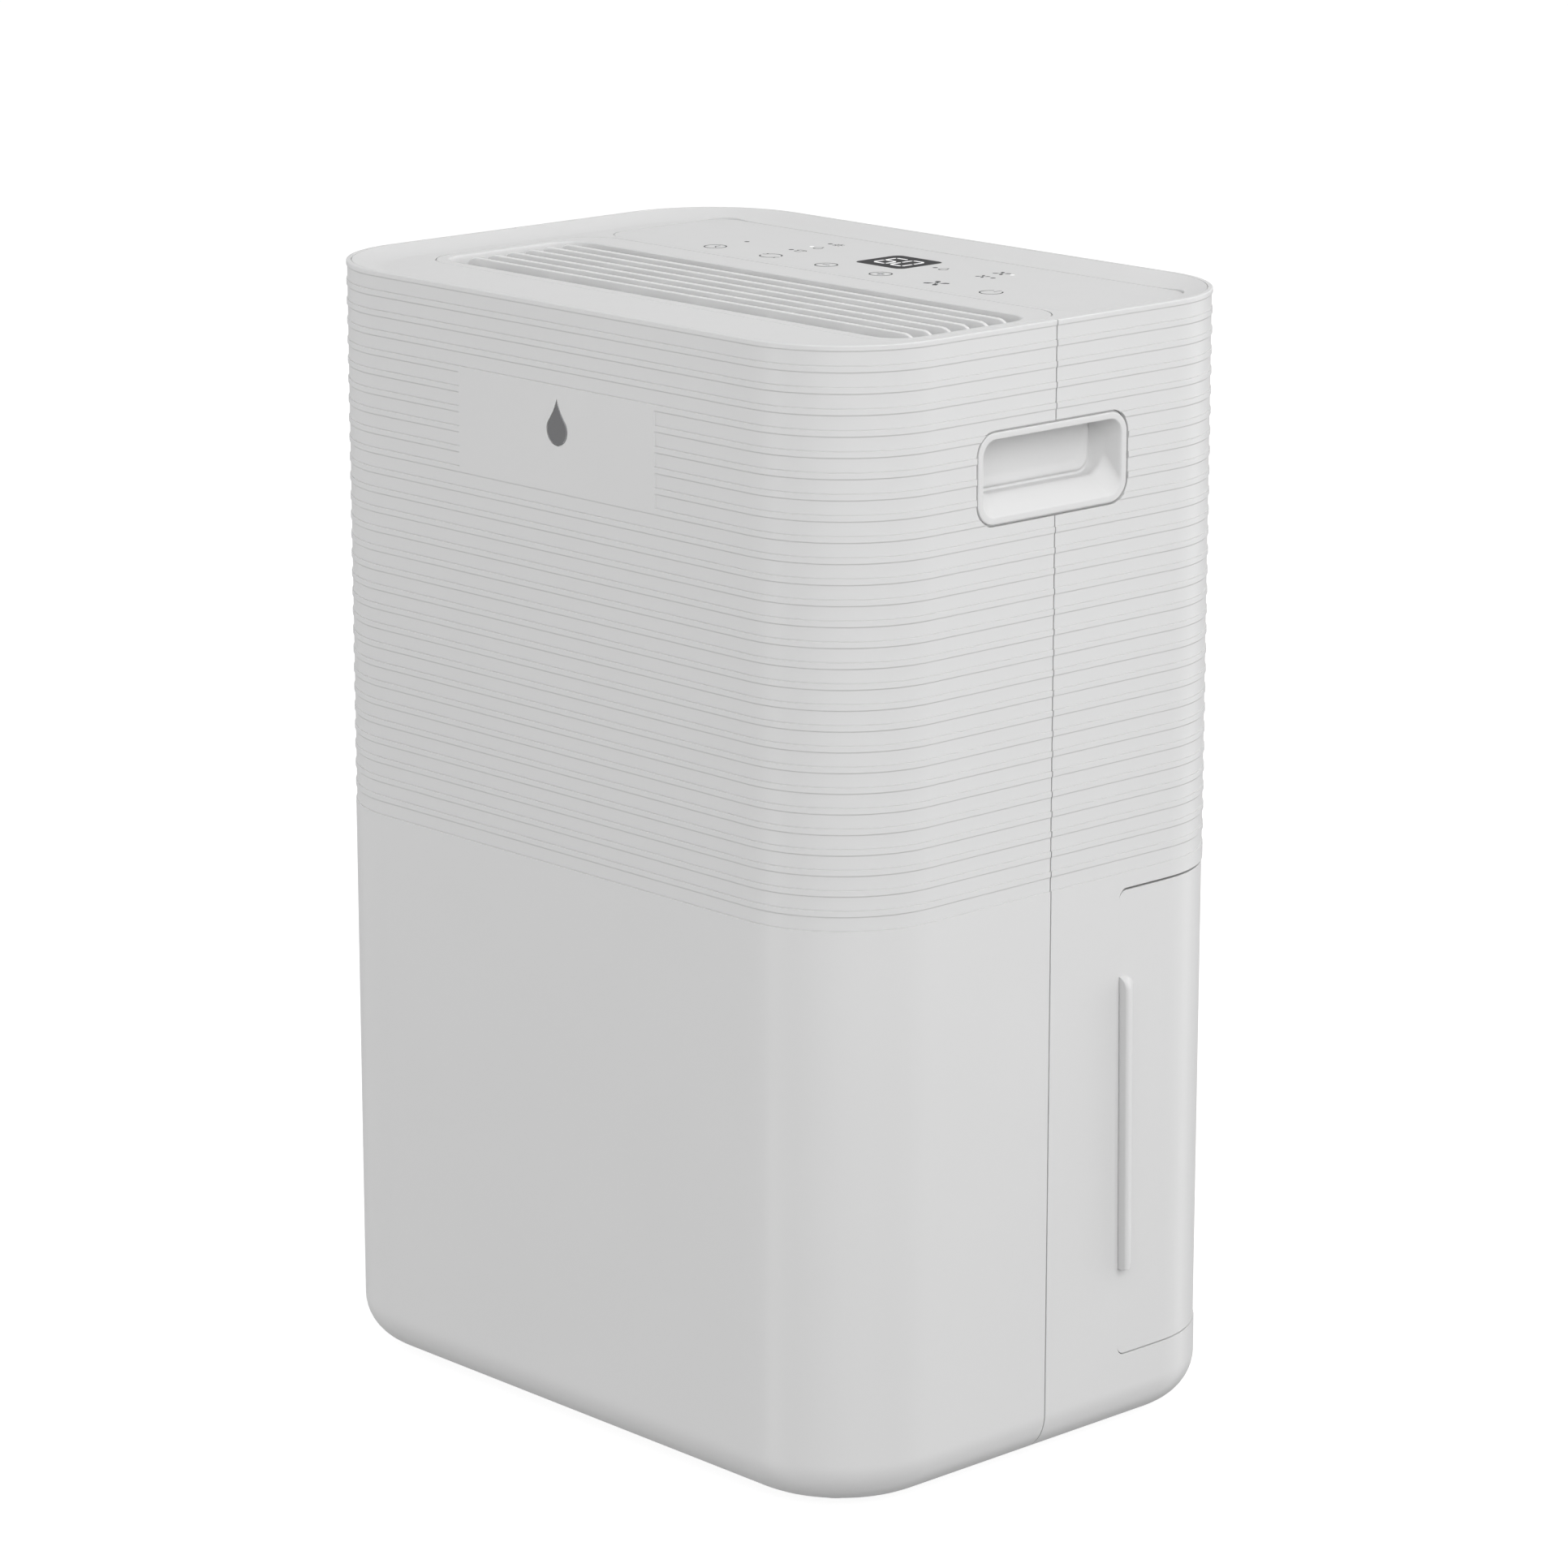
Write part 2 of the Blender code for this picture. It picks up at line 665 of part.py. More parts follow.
def make_pipes():
    """Copper pipes, in the order in which the refrigerant runs through them."""
    cx, cy = COMPRESSOR
    end = COIL_HALF + GAP
    low = COIL_LOW_Z + TUBE_FIRST
    high = low + 7 * TUBE_PITCH
    left, right = -157.0, 150.0
    discharge = [(cx, cy, COMPRESSOR_HIGH_Z + GAP), (cx, cy, 232), (left, -20, 238), (left, 20, 254)]
    discharge += [(left, 54, 262), (left, 54, high), (-end, 56, high)]
    tube("discharge_pipe", bent(discharge, 9), PIPE_R, "copper")
    liquid = [(DRIER_X, 26.3, DRIER_Z), (DRIER_X, 34, DRIER_Z), (-147, 44, 258), (-147, 68, 264)]
    liquid += [(-147, 68, low), (-end, 68, low)]
    tube("liquid_pipe", bent(liquid, 4), 2.5, "copper")
    drier = [(3, -26), (9, -18), (9, 18), (3, 26)]
    solid("filter_drier", turned(drier, (DRIER_X, DRIER_Z), "Y", 10), "copper", smooth=True)
    capillary = [(DRIER_X, -26.3, DRIER_Z), (DRIER_X, -60, DRIER_Z), (-100, -60, 247), (140, -60, 247)]
    capillary += [(159, -40, 247), (159, 20, 257), (159, 97, 264), (159, 97, low), (end, 97, low)]
    tube("capillary_pipe", bent(capillary, 6), 1.5, "copper")
    sx, sy = ACCUMULATOR
    suction = [(end, 86, high), (right, 84, high), (right, 84, 262), (right, 20, 256), (right, -40, 240)]
    suction += [(sx, sy, 238), (sx, sy, 178.3)]
    tube("suction_pipe", bent(suction, 9), PIPE_R, "copper")
    inlet = [(sx, sy, 95.7), (sx, sy, 74), (sx - 10, sy + 6, 74), (cx + COMPRESSOR_R + 0.8, cy - 8, 74)]
    tube("compressor_inlet_pipe", bent(inlet, 4), PIPE_R, "copper")


def make_drip_tray():
    x, y, z = (-140, 140), (44, 108), (251.0, 263.0)
    tray = solid("drip_tray", block(x, y, z), "white_plastic")
    join(tray, turned([(6, 246.5), (6, z[0] + 1)], (0, LID_MOUTH[1]), "Z", 12))
    cut(tray, block((x[0] + 2, x[1] - 2), (y[0] + 2, y[1] - 2), (z[0] + 2, z[1] + 5)))
    cut(tray, turned([(4, 200), (4, 300)], (0, LID_MOUTH[1]), "Z", 12))


# ---------------------------------------------------------------- fan


def scroll_outline(inset, top):
    """The spiral round the wheel, which opens upwards."""
    steps = 20
    sweep = 180 + SCROLL_START
    points = []
    for k in range(steps + 1):
        turn = sweep * k / steps
        a = math.radians(SCROLL_START - turn)
        r = SCROLL_START_R + SCROLL_GROWTH * turn / 360 - inset
        points.append((r * math.cos(a), FAN_Z + r * math.sin(a)))
    points.append((points[-1][0], FAN_Z + top))
    points.append((points[0][0], FAN_Z + top))
    return points


def make_fan():
    low, high = SCROLL_Y
    scroll = solid("fan_scroll", prism(scroll_outline(0, SCROLL_TOP), "Y", low, high), "grey_plastic")
    cut(scroll, prism(scroll_outline(WALL, SCROLL_TOP + 10), "Y", low + WALL, FAR))
    cut(scroll, turned([(12, -FAR), (12, 0)], (0, FAN_Z), "Y"))
    lid = prism(scroll_outline(0, SCROLL_TOP), "Y", high + GAP, high + GAP + 2)
    front = solid("scroll_cover", lid, "grey_plastic")
    cut(front, turned([(60, 0), (60, 40)], (0, FAN_Z), "Y", 24))

    make_duct(low, high + 2)

    bore = SHAFT_R + GAP
    centre = (0, FAN_Z)
    motor = [(40, -93), (42, -90), (42, -52), (36, low - GAP), (bore, low - GAP), (bore, -93)]
    solid("fan_motor", turned(motor, centre, "Y", 20, bored=True), "zinc_steel", smooth=True)
    bar = turned([(SHAFT_R, -88), (SHAFT_R, -13)], centre, "Y", 12)
    shaft = solid("motor_shaft", bar, "zinc_steel", smooth=True)
    nut = [(7, -19.7), (7, -14), (bore, -14), (bore, -19.7)]
    wheel_nut = solid("wheel_nut", turned(nut, centre, "Y", 12, bored=True), "zinc_steel")
    on_axis("fan_axis", (0, 0, FAN_Z), make_fan_wheel(bore), shaft, wheel_nut)


def make_duct(front_y, back_y):
    """The flared duct from the scroll's mouth up to the outlet grille."""
    left, right = [x for x, _ in scroll_outline(0, SCROLL_TOP)[-2:]]
    bottom = (FAN_Z + SCROLL_TOP + GAP, left, right, front_y, back_y)
    top = (DECK_Z - GRILLE_DEPTH - 0.5, -140, 140, -66, 11)
    rings = []
    for shrink, (z, x0, x1, y0, y1) in ((0, bottom), (0, top), (2, top), (2, bottom)):
        near, far = y0 + shrink, y1 - shrink
        low, high = x0 + shrink, x1 - shrink
        rings.append([(low, near, z), (high, near, z), (high, far, z), (low, far, z)])
    solid("outlet_duct", loft(rings, closed=True), "grey_plastic")


def make_fan_wheel(bore):
    """A drum of narrow blades between a back disc with a hub and a front ring."""
    centre = (0, FAN_Z)
    back, front = -43.5, 6.0
    disc = [(FAN_R, back), (FAN_R, back + 2.5), (12, back + 3), (11, -20), (bore, -20), (bore, back)]
    wheel = solid("fan_wheel", turned(disc, centre, "Y", 24, bored=True), "black_rubber", smooth=True)
    blades = []
    for k in range(FAN_BLADES):
        a = 2 * math.pi * (k + 0.3) / FAN_BLADES
        along = (math.cos(a), math.sin(a))
        across = (-math.sin(a), math.cos(a))
        section = []
        for r, s in ((64, 0), (75, 5), (75, 6.5), (64, 1.5)):
            section.append((along[0] * r + across[0] * s, FAN_Z + along[1] * r + across[1] * s))
        blades.append(prism(section, "Y", back + 1, front - 1))
    join(wheel, *blades)
    rim = [(FAN_R, front - 2.5), (FAN_R, front), (63, front), (63, front - 2.5)]
    return join(wheel, turned(rim, centre, "Y", 24, bored=True))


# ---------------------------------------------------------------- electrics and rear


def make_electrics():
    box = solid("electronics_box", block((46, 140), (-100, -34), (30, 190)), "grey_plastic")
    cut(box, block((48, 138), (-98, 0), (32, 188)))
    board = solid("main_board", block((50, 136), (-95.5, -94), (36, 184)), "circuit_board")
    join(board, block((60, 92), (-95, -66), (120, 156)), block((100, 126), (-95, -76), (60, 84)))
    capacitor = [(17, 32.4), (17, 96), (15, 98)]
    solid("run_capacitor", turned(capacitor, (72, -64), "Z", 14), "aluminium_fins", smooth=True)
    switch = solid("tank_switch", block((96, 116), (27, BAY_FRONT_Y - GAP), (140, 150)), "black_paint")
    join(switch, block((98, 114), (28, 30), (149, 156)))
    solid("humidity_sensor", block((150, 152), (90, 108), (300, 318)), "circuit_board")


def make_filter():
    x, z, w, h, r = FILTER
    face = DEPTH / 2 - 0.4
    frame = solid("filter_frame", prism(rounded(FILTER, GAP), "Y", 116, face), "white_plastic")
    slots = [block((-100, 100), (100, FAR), (z - 88 + 16.5 * k, z - 79 + 16.5 * k)) for k in range(11)]
    cut(frame, *slots)
    cut(frame, turned([(12, 122), (12, FAR)], (0, z + h / 2 + 4), "Y", 16))
    mesh = solid("filter_mesh", block((-106, 106), (113.5, 115.5), (z - 94, z + 94)), "filter_cloth")
    on_axis("filter_slide_axis", (0, DEPTH / 2, z), frame, mesh)


def make_drain():
    end = DEPTH / 2
    spigot = [(7.4, 108.5), (7.4, end - 2.9), (5.0, end - 2.9), (5.0, 108.5)]
    solid("drain_port", turned(spigot, DRAIN, "Y", 14, bored=True), "grey_plastic", smooth=True)
    stem = turned([(4.4, 112), (4.7, 114), (4.7, end - 2)], DRAIN, "Y", 14)
    plug = solid("drain_plug", stem, "black_rubber", smooth=True)
    join(plug, turned([(7.2, end - 2.5), (7.2, end - 0.6), (6.6, end - 0.1)], DRAIN, "Y", 14))
    on_axis("drain_plug_axis", (DRAIN[0], end, DRAIN[1]), plug)


def make_screws():
    for k, at in enumerate(SCREWS):
        profile = [(2.0, 109), (2.0, 121.4), (4.1, 121.4), (4.1, 123.4), (2.6, 124.4)]
        solid(f"cover_screw_{k + 1}", turned(profile, at, "Y", 10), "zinc_steel", smooth=True)


def main():
    clear_scene()
    make_covers()
    make_badge()
    make_pocket("handle_pocket_left", -1)
    make_pocket("handle_pocket_right", 1)
    make_top_deck()
    make_outlet_grille()
    make_control_panel()
    make_base()
    make_tank_bay()
    make_tank()
    make_compressor()
    make_coil("evaporator_coil", EVAPORATOR_Y, 1)
    make_coil("condenser_coil", CONDENSER_Y, -1)
    make_pipes()
    make_drip_tray()
    make_fan()
    make_electrics()
    make_filter()
    make_drain()
    make_screws()


main()
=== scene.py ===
"""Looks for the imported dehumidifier: grooved covers, printed panel, finishes, light and camera.

Shapes are worked out in millimetres in the row frame (+Z up, the front faces -Y) and turned into metres
when a mesh is made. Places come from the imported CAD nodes' boxes.
"""

import json
import math

import bmesh
import bpy
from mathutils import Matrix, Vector


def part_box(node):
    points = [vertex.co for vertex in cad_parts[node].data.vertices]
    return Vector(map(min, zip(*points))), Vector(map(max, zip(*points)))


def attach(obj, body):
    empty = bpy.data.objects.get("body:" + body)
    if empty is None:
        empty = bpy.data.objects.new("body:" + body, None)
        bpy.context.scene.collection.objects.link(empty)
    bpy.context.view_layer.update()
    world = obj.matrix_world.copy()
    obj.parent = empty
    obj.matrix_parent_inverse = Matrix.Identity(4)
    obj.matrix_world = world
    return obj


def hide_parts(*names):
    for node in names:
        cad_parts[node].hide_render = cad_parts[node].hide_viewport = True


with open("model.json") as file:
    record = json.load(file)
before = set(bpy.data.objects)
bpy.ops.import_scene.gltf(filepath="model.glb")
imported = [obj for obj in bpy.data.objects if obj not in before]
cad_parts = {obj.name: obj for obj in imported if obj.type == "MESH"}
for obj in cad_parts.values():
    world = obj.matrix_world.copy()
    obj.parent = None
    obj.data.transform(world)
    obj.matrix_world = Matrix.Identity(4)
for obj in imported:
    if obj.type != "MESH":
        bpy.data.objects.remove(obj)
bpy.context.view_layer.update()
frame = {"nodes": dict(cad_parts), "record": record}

MM = 0.001
FAR = 400.0


def node_box(node):
    """The lowest and highest corner of a CAD node, in millimetres."""
    low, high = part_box(node)
    return [c / MM for c in low], [c / MM for c in high]


FRONT_LOW, FRONT_HIGH = node_box("front_cover")
REAR_LOW, REAR_HIGH = node_box("rear_cover")
WIDTH = FRONT_HIGH[0] - FRONT_LOW[0]
DEPTH = REAR_HIGH[1] - FRONT_LOW[1]
BOTTOM = FRONT_LOW[2]
TOP = FRONT_HIGH[2]
DECK = node_box("control_panel")[1][2]
SEAM_Y = (FRONT_HIGH[1] + REAR_LOW[1]) / 2
CORNER = 53.5
FILLET = 20.0
WALL = 2.2
SEAM = 0.7
DISH = 14.5

GROOVES = 28
GROOVE_TOP = BOTTOM + 497.6
GROOVE_PITCH = 8.75
GROOVE_HEIGHT = 6.1
GROOVE_DEPTH = 0.46
UNDER_RIDGE = 0.38
OVER_RIDGE = 0.04
NOTCH = 0.17
PATCH_HALF = 63.0
PATCH_GROOVES = range(4, 9)

POCKET_BOX = node_box("handle_pocket_right")
POCKET_Y = (POCKET_BOX[0][1] + POCKET_BOX[1][1]) / 2
POCKET_Z = (POCKET_BOX[0][2] + POCKET_BOX[1][2]) / 2
POCKET_LONG = 90.0
POCKET_HIGH = 40.5
POCKET_R = 10.5

WINDOW_LOW_Z = BOTTOM + 35.5
WINDOW_HIGH_Z = BOTTOM + 248.3
WINDOW_TOP_Y = 41.3
WINDOW_LOW_Y = 44.3
PANEL_SUNK = 0.45
LIP_LOW_Z = BOTTOM + 76.0
LIP_HIGH_Z = BOTTOM + 209.0
LIP_PROUD = node_box("tank_panel")[1][0] - (WIDTH / 2 - PANEL_SUNK)


# ---------------------------------------------------------------- outlines and shapes


def arc(cx, cy, r, start, end, steps):
    """Points on a circle from one angle to another, in degrees."""
    turns = [math.radians(start + (end - start) * k / steps) for k in range(steps + 1)]
    return [(cx + r * math.cos(a), cy + r * math.sin(a)) for a in turns]


def circle(cx, cy, r, steps=32):
    return arc(cx, cy, r, 0, 360 - 360 / steps, steps - 1)


def rounded(cx, cy, w, h, r, steps=8):
    """A rectangle with round corners."""
    u = w / 2 - r
    v = h / 2 - r
    points = []
    for su, sv, a in ((1, -1, -90), (1, 1, 0), (-1, 1, 90), (-1, -1, 180)):
        points += arc(cx + su * u, cy + sv * v, r, a, a + 90, steps)
    return points


def plan(inset, steps=20):
    """The casing's outline from above."""
    return rounded(0, 0, WIDTH - 2 * inset, DEPTH - 2 * inset, CORNER - inset, steps)


def place(point, axis, t):
    """A flat point at height t along an axis: X takes (y, z), Y takes (x, z), Z takes (x, y)."""
    a, b = point
    return {"X": (t, a, b), "Y": (a, t, b), "Z": (a, b, t)}[axis]


def loft(rings, closed=False):
    """Joins rings of points with faces, and caps the ends unless the rings close on themselves."""
    n = len(rings[0])
    faces = []
    for i in range(len(rings) if closed else len(rings) - 1):
        j = (i + 1) % len(rings)
        for k in range(n):
            m = (k + 1) % n
            faces.append((i * n + k, i * n + m, j * n + m, j * n + k))
    if not closed:
        faces.append(tuple(range(n)))
        faces.append(tuple(range((len(rings) - 1) * n, len(rings) * n)))
    return [p for ring in rings for p in ring], faces


def prism(outline, axis, low, high):
    return loft([[place(p, axis, t) for p in outline] for t in (low, high)])


def block(x, y, z):
    return prism([(x[0], y[0]), (x[1], y[0]), (x[1], y[1]), (x[0], y[1])], "Z", *z)


def turned(profile, centre, axis, steps=32, bored=False):
    """A shape turned about a line along an axis, from (radius, position) points."""
    return loft([[place(p, axis, t) for p in circle(*centre, r, steps)] for r, t in profile], bored)


def combine(*shapes):
    verts = []
    faces = []
    for shape_verts, shape_faces in shapes:
        start = len(verts)
        verts += shape_verts
        faces += [tuple(start + k for k in face) for face in shape_faces]
    return verts, faces


def ribbon(points, width, low, high, closed=False):
    """A flat stroke of even width along points in the plan, from one height to another."""
    n = len(points)
    rings = []
    for k, (x, y) in enumerate(points):
        before = points[k - 1] if k or closed else points[0]
        after = points[(k + 1) % n] if k < n - 1 or closed else points[-1]
        length = math.dist(before, after)
        u = (before[1] - after[1]) / length * width / 2
        v = (after[0] - before[0]) / length * width / 2
        rings.append([(x + u, y + v, low), (x - u, y - v, low), (x - u, y - v, high), (x + u, y + v, high)])
    return loft(rings, closed)


# ---------------------------------------------------------------- finishes

finishes = {}


def link(tree, source, target):
    tree.links.new(source, target)


def math_node(tree, operation, first, second):
    node = tree.nodes.new("ShaderNodeMath")
    node.operation = operation
    for socket, value in zip(node.inputs, (first, second)):
        if isinstance(value, float):
            socket.default_value = value
        else:
            link(tree, value, socket)
    return node.outputs[0]


def noise(tree, coords, scale, detail=2.0):
    node = tree.nodes.new("ShaderNodeTexNoise")
    node.inputs["Scale"].default_value = scale
    node.inputs["Detail"].default_value = detail
    link(tree, coords, node.inputs["Vector"])
    return node.outputs["Fac"]


def between(tree, factor, low, high):
    """A ramp from one number or colour to another."""
    node = tree.nodes.new("ShaderNodeMapRange")
    node.inputs["From Min"].default_value = 0.3
    node.inputs["From Max"].default_value = 0.7
    node.inputs["To Min"].default_value = low
    node.inputs["To Max"].default_value = high
    link(tree, factor, node.inputs["Value"])
    return node.outputs[0]


def tinted(tree, factor, low, high):
    node = tree.nodes.new("ShaderNodeValToRGB")
    node.color_ramp.elements[0].position = 0.3
    node.color_ramp.elements[1].position = 0.7
    node.color_ramp.elements[0].color = (*low, 1)
    node.color_ramp.elements[1].color = (*high, 1)
    link(tree, factor, node.inputs["Fac"])
    return node.outputs["Color"]


def finish(name, colour, rough, grain=0.0, grain_scale=1500.0, vary=0.03, metallic=0.0, **extra):
    """A moulded, cast or plated surface: broad tone and gloss variation over a fine grain."""
    made = bpy.data.materials.new(name)
    made.use_nodes = True
    tree = made.node_tree
    shader = tree.nodes["Principled BSDF"]
    shader.inputs["Metallic"].default_value = metallic
    for key, value in extra.items():
        shader.inputs[key.replace("_", " ")].default_value = value
    coords = tree.nodes.new("ShaderNodeTexCoord").outputs["Object"]
    broad = noise(tree, coords, 14.0, 3.0)
    low = [c * (1 - vary) for c in colour]
    high = [min(c * (1 + vary), 1.0) for c in colour]
    link(tree, tinted(tree, broad, low, high), shader.inputs["Base Color"])
    fine = noise(tree, coords, grain_scale, 1.0)
    patchy = between(tree, noise(tree, coords, 45.0, 4.0), rough - 0.02, rough + 0.02)
    gloss = math_node(tree, "ADD", patchy, math_node(tree, "MULTIPLY", fine, 0.04))
    link(tree, gloss, shader.inputs["Roughness"])
    if grain:
        bump = tree.nodes.new("ShaderNodeBump")
        bump.inputs["Strength"].default_value = grain
        bump.inputs["Distance"].default_value = 0.0001
        link(tree, fine, bump.inputs["Height"])
        link(tree, bump.outputs["Normal"], shader.inputs["Normal"])
    finishes[name] = made
    return made


def woven(name, colour, rough, pitch):
    """A fine square net: two sets of threads that make their own relief, and painted shade that darkens the
    gaps between them.
    """
    made = finish(name, colour, rough)
    tree = made.node_tree
    shader = tree.nodes["Principled BSDF"]
    coords = tree.nodes["Texture Coordinate"].outputs["Object"]
    threads = []
    for direction in ("X", "Z"):
        wave = tree.nodes.new("ShaderNodeTexWave")
        wave.bands_direction = direction
        wave.inputs["Scale"].default_value = 1 / (pitch * MM * 3.18)
        link(tree, coords, wave.inputs["Vector"])
        threads.append(wave.outputs["Fac"])
    relief_and_gap_shade = math_node(tree, "MAXIMUM", *threads)
    bump = tree.nodes.new("ShaderNodeBump")
    bump.inputs["Strength"].default_value = 0.9
    bump.inputs["Distance"].default_value = 0.0004
    link(tree, relief_and_gap_shade, bump.inputs["Height"])
    link(tree, bump.outputs["Normal"], shader.inputs["Normal"])
    # Painted shade: the base colour drops to about a third where the relief is low, between the threads.
    link(tree, tinted(tree, relief_and_gap_shade, [c * 0.35 for c in colour], colour), shader.inputs["Base Color"])
    return made


def brushed(name, colour, rough, stretch=(1.0, 1.0, 30.0)):
    """Metal with fine lines along one direction."""
    made = finish(name, colour, rough, metallic=1.0)
    tree = made.node_tree
    shader = tree.nodes["Principled BSDF"]
    mapping = tree.nodes.new("ShaderNodeMapping")
    mapping.inputs["Scale"].default_value = stretch
    link(tree, tree.nodes["Texture Coordinate"].outputs["Object"], mapping.inputs["Vector"])
    lines = noise(tree, mapping.outputs["Vector"], 220.0, 2.0)
    link(tree, between(tree, lines, rough - 0.07, rough + 0.07), shader.inputs["Roughness"])
    bump = tree.nodes.new("ShaderNodeBump")
    bump.inputs["Strength"].default_value = 0.12
    bump.inputs["Distance"].default_value = 0.0001
    link(tree, lines, bump.inputs["Height"])
    link(tree, bump.outputs["Normal"], shader.inputs["Normal"])
    return made


def make_finishes():
    white = (0.66, 0.66, 0.66)
    finish("white_plastic", white, 0.3, grain=0.03, vary=0.005)
    finish("panel_film", (0.655, 0.655, 0.655), 0.33, grain=0.04, vary=0.005)
    # Painted light: the slats and ribs get a lighter copy of the white plastic, which makes up for the
    # shade in the outlet's slots.
    finish("slat_plastic_painted_light", (0.74, 0.74, 0.74), 0.36, grain=0.05, vary=0.006)
    finish("grey_plastic", (0.30, 0.31, 0.32), 0.48, grain=0.3)
    finish("black_plastic", (0.03, 0.03, 0.032), 0.45, grain=0.3)
    finish("clear_plastic", (0.72, 0.78, 0.82), 0.12, vary=0.02, Transmission_Weight=0.85, IOR=1.45)
    finish("display_glass", (0.032, 0.032, 0.034), 0.42, vary=0.1, Specular_IOR_Level=0.05)
    finish("chrome", (0.42, 0.42, 0.43), 0.16, metallic=1.0, vary=0.02)
    finish("black_rubber", (0.035, 0.035, 0.036), 0.75, grain=0.5, grain_scale=2200.0, vary=0.12)
    finish("grey_rubber", (0.50, 0.50, 0.50), 0.72, grain=0.5, grain_scale=2200.0, vary=0.05)
    finish("black_paint", (0.02, 0.02, 0.022), 0.32, grain=0.6, grain_scale=700.0, vary=0.15)
    finish("copper", (0.72, 0.36, 0.22), 0.3, metallic=1.0, vary=0.12)
    brushed("aluminium_fins", (0.72, 0.73, 0.75), 0.38, (60.0, 1.0, 1.0))
    brushed("zinc_steel", (0.60, 0.61, 0.63), 0.34)
    finish("circuit_board", (0.03, 0.17, 0.07), 0.4, grain=0.3, vary=0.2)
    woven("filter_cloth", (0.16, 0.17, 0.18), 0.8, 1.6)
    finish("foam", (0.82, 0.82, 0.79), 0.9, grain=0.8, grain_scale=900.0, vary=0.05)
    finish("ink", (0.045, 0.045, 0.048), 0.6, vary=0.1)
    glow = {"Emission_Color": (1.0, 1.0, 1.0, 1.0), "Emission_Strength": 0.22}
    finish("light_on", (0.9, 0.9, 0.9), 0.4, vary=0.01, **glow)
    finish("light_off", (0.06, 0.06, 0.062), 0.45, vary=0.1)


# ---------------------------------------------------------------- pieces


def to_mesh(name, shape):
    verts, faces = shape
    mesh = bpy.data.meshes.new(name)
    mesh.from_pydata([tuple(c * MM for c in v) for v in verts], [], faces)
    edit = bmesh.new()
    edit.from_mesh(mesh)
    bmesh.ops.recalc_face_normals(edit, faces=edit.faces)
    edit.to_mesh(mesh)
    edit.free()
    return mesh


def link_object(name, mesh):
    obj = bpy.data.objects.new(name, mesh)
    bpy.context.scene.collection.objects.link(obj)
    return obj


def carve(obj, steps):
    """Booleans, each a pair of operation and shape, applied to the mesh."""
    tools = []
    for operation, shape in steps:
        tool = link_object("tool", to_mesh("tool", shape))
        tools.append(tool)
        modifier = obj.modifiers.new("carve", "BOOLEAN")
        modifier.operation = operation
        modifier.solver = "EXACT"
        modifier.object = tool
    bake_modifiers(obj)
    for tool in tools:
        bpy.data.objects.remove(tool)


def bake_modifiers(obj):
    graph = bpy.context.evaluated_depsgraph_get()
    mesh = bpy.data.meshes.new_from_object(obj.evaluated_get(graph))
    obj.modifiers.clear()
    obj.data = mesh


def piece(name, shape, look, body, replaces=(), steps=(), bevel=0.0, angle=35.0, segments=2):
    """A finished piece that rides on a CAD body: mesh, booleans, edge rounding, shading and finish."""
    obj = link_object(name, to_mesh(name, shape))
    if steps:
        carve(obj, steps)
    if bevel:
        modifier = obj.modifiers.new("edges", "BEVEL")
        modifier.width = bevel * MM
        modifier.segments = segments
        modifier.limit_method = "ANGLE"
        modifier.angle_limit = math.radians(40)
        modifier.miter_outer = "MITER_ARC"
        bake_modifiers(obj)
    mesh = obj.data
    mesh.name = name
    mesh.materials.clear()
    mesh.materials.append(finishes[look])
    mesh.shade_smooth()
    mesh.set_sharp_from_angle(angle=math.radians(angle))
    weigh = obj.modifiers.new("normals", "WEIGHTED_NORMAL")
    weigh.keep_sharp = True
    weigh.weight = 50
    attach(obj, body)
    if replaces:
        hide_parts(*replaces)
    return obj


# ---------------------------------------------------------------- casing


def half_columns(side, end_y):
    """(point, outward normal) along half the casing's outline, round the front (side -1) or the rear."""
    u = WIDTH / 2 - CORNER
    v = side * (DEPTH / 2 - CORNER)
    half = [((WIDTH / 2, end_y), (1, 0))]
    steps = 20
    for k in range(steps + 1):
        a = math.radians(90 * k / steps)
        normal = (math.cos(a), side * math.sin(a))
        half.append(((u + CORNER * normal[0], v + CORNER * normal[1]), normal))
    for x in (PATCH_HALF + 0.5, PATCH_HALF):
        half.append(((x, side * DEPTH / 2), (0, side)))
    mirrored = [((-x, y), (-nx, ny)) for (x, y), (nx, ny) in reversed(half)]
    return half + mirrored


def groove_profile():
    """(z, depth, groove number) from the lowest groove's lower edge up to the top one's upper edge."""
    levels = []
    ease = ((-1.0, 0.0), (-0.6, 0.12), (0.6, 0.88), (1.0, 1.0))
    for k in reversed(range(GROOVES)):
        high = GROOVE_TOP - GROOVE_PITCH * k
        low = high - GROOVE_HEIGHT
        for t, share in ease:
            levels.append((low + t * OVER_RIDGE, (GROOVE_DEPTH + NOTCH) * share, k))
        levels.append((low + 0.22, GROOVE_DEPTH + NOTCH, k))
        levels.append((low + 0.32, GROOVE_DEPTH, k))
        for t, share in reversed(ease):
            levels.append((high - t * UNDER_RIDGE, GROOVE_DEPTH * share, k))
    return levels


def cover_levels():
    """The casing wall's section as (inset, z, groove depth, groove number), outside up and inside down."""
    levels = []
    for k in range(13):
        a = math.radians(90 * k / 12)
        levels.append((FILLET - FILLET * math.sin(a), BOTTOM + FILLET - FILLET * math.cos(a), 0, -1))
    levels += [(0, z, depth, k) for z, depth, k in groove_profile()]
    rim = 0.6
    for k in range(5):
        a = math.radians(90 * k / 4)
        levels.append((rim - rim * math.cos(a), TOP - rim + rim * math.sin(a), 0, -1))
    levels += [(WALL - 0.1, TOP, 0, -1), (WALL, TOP - 0.1, 0, -1)]
    r = FILLET - WALL
    for k in range(7):
        a = math.radians(90 - 90 * k / 6)
        levels.append((FILLET - r * math.sin(a), BOTTOM + FILLET - r * math.cos(a), 0, -1))
    return levels


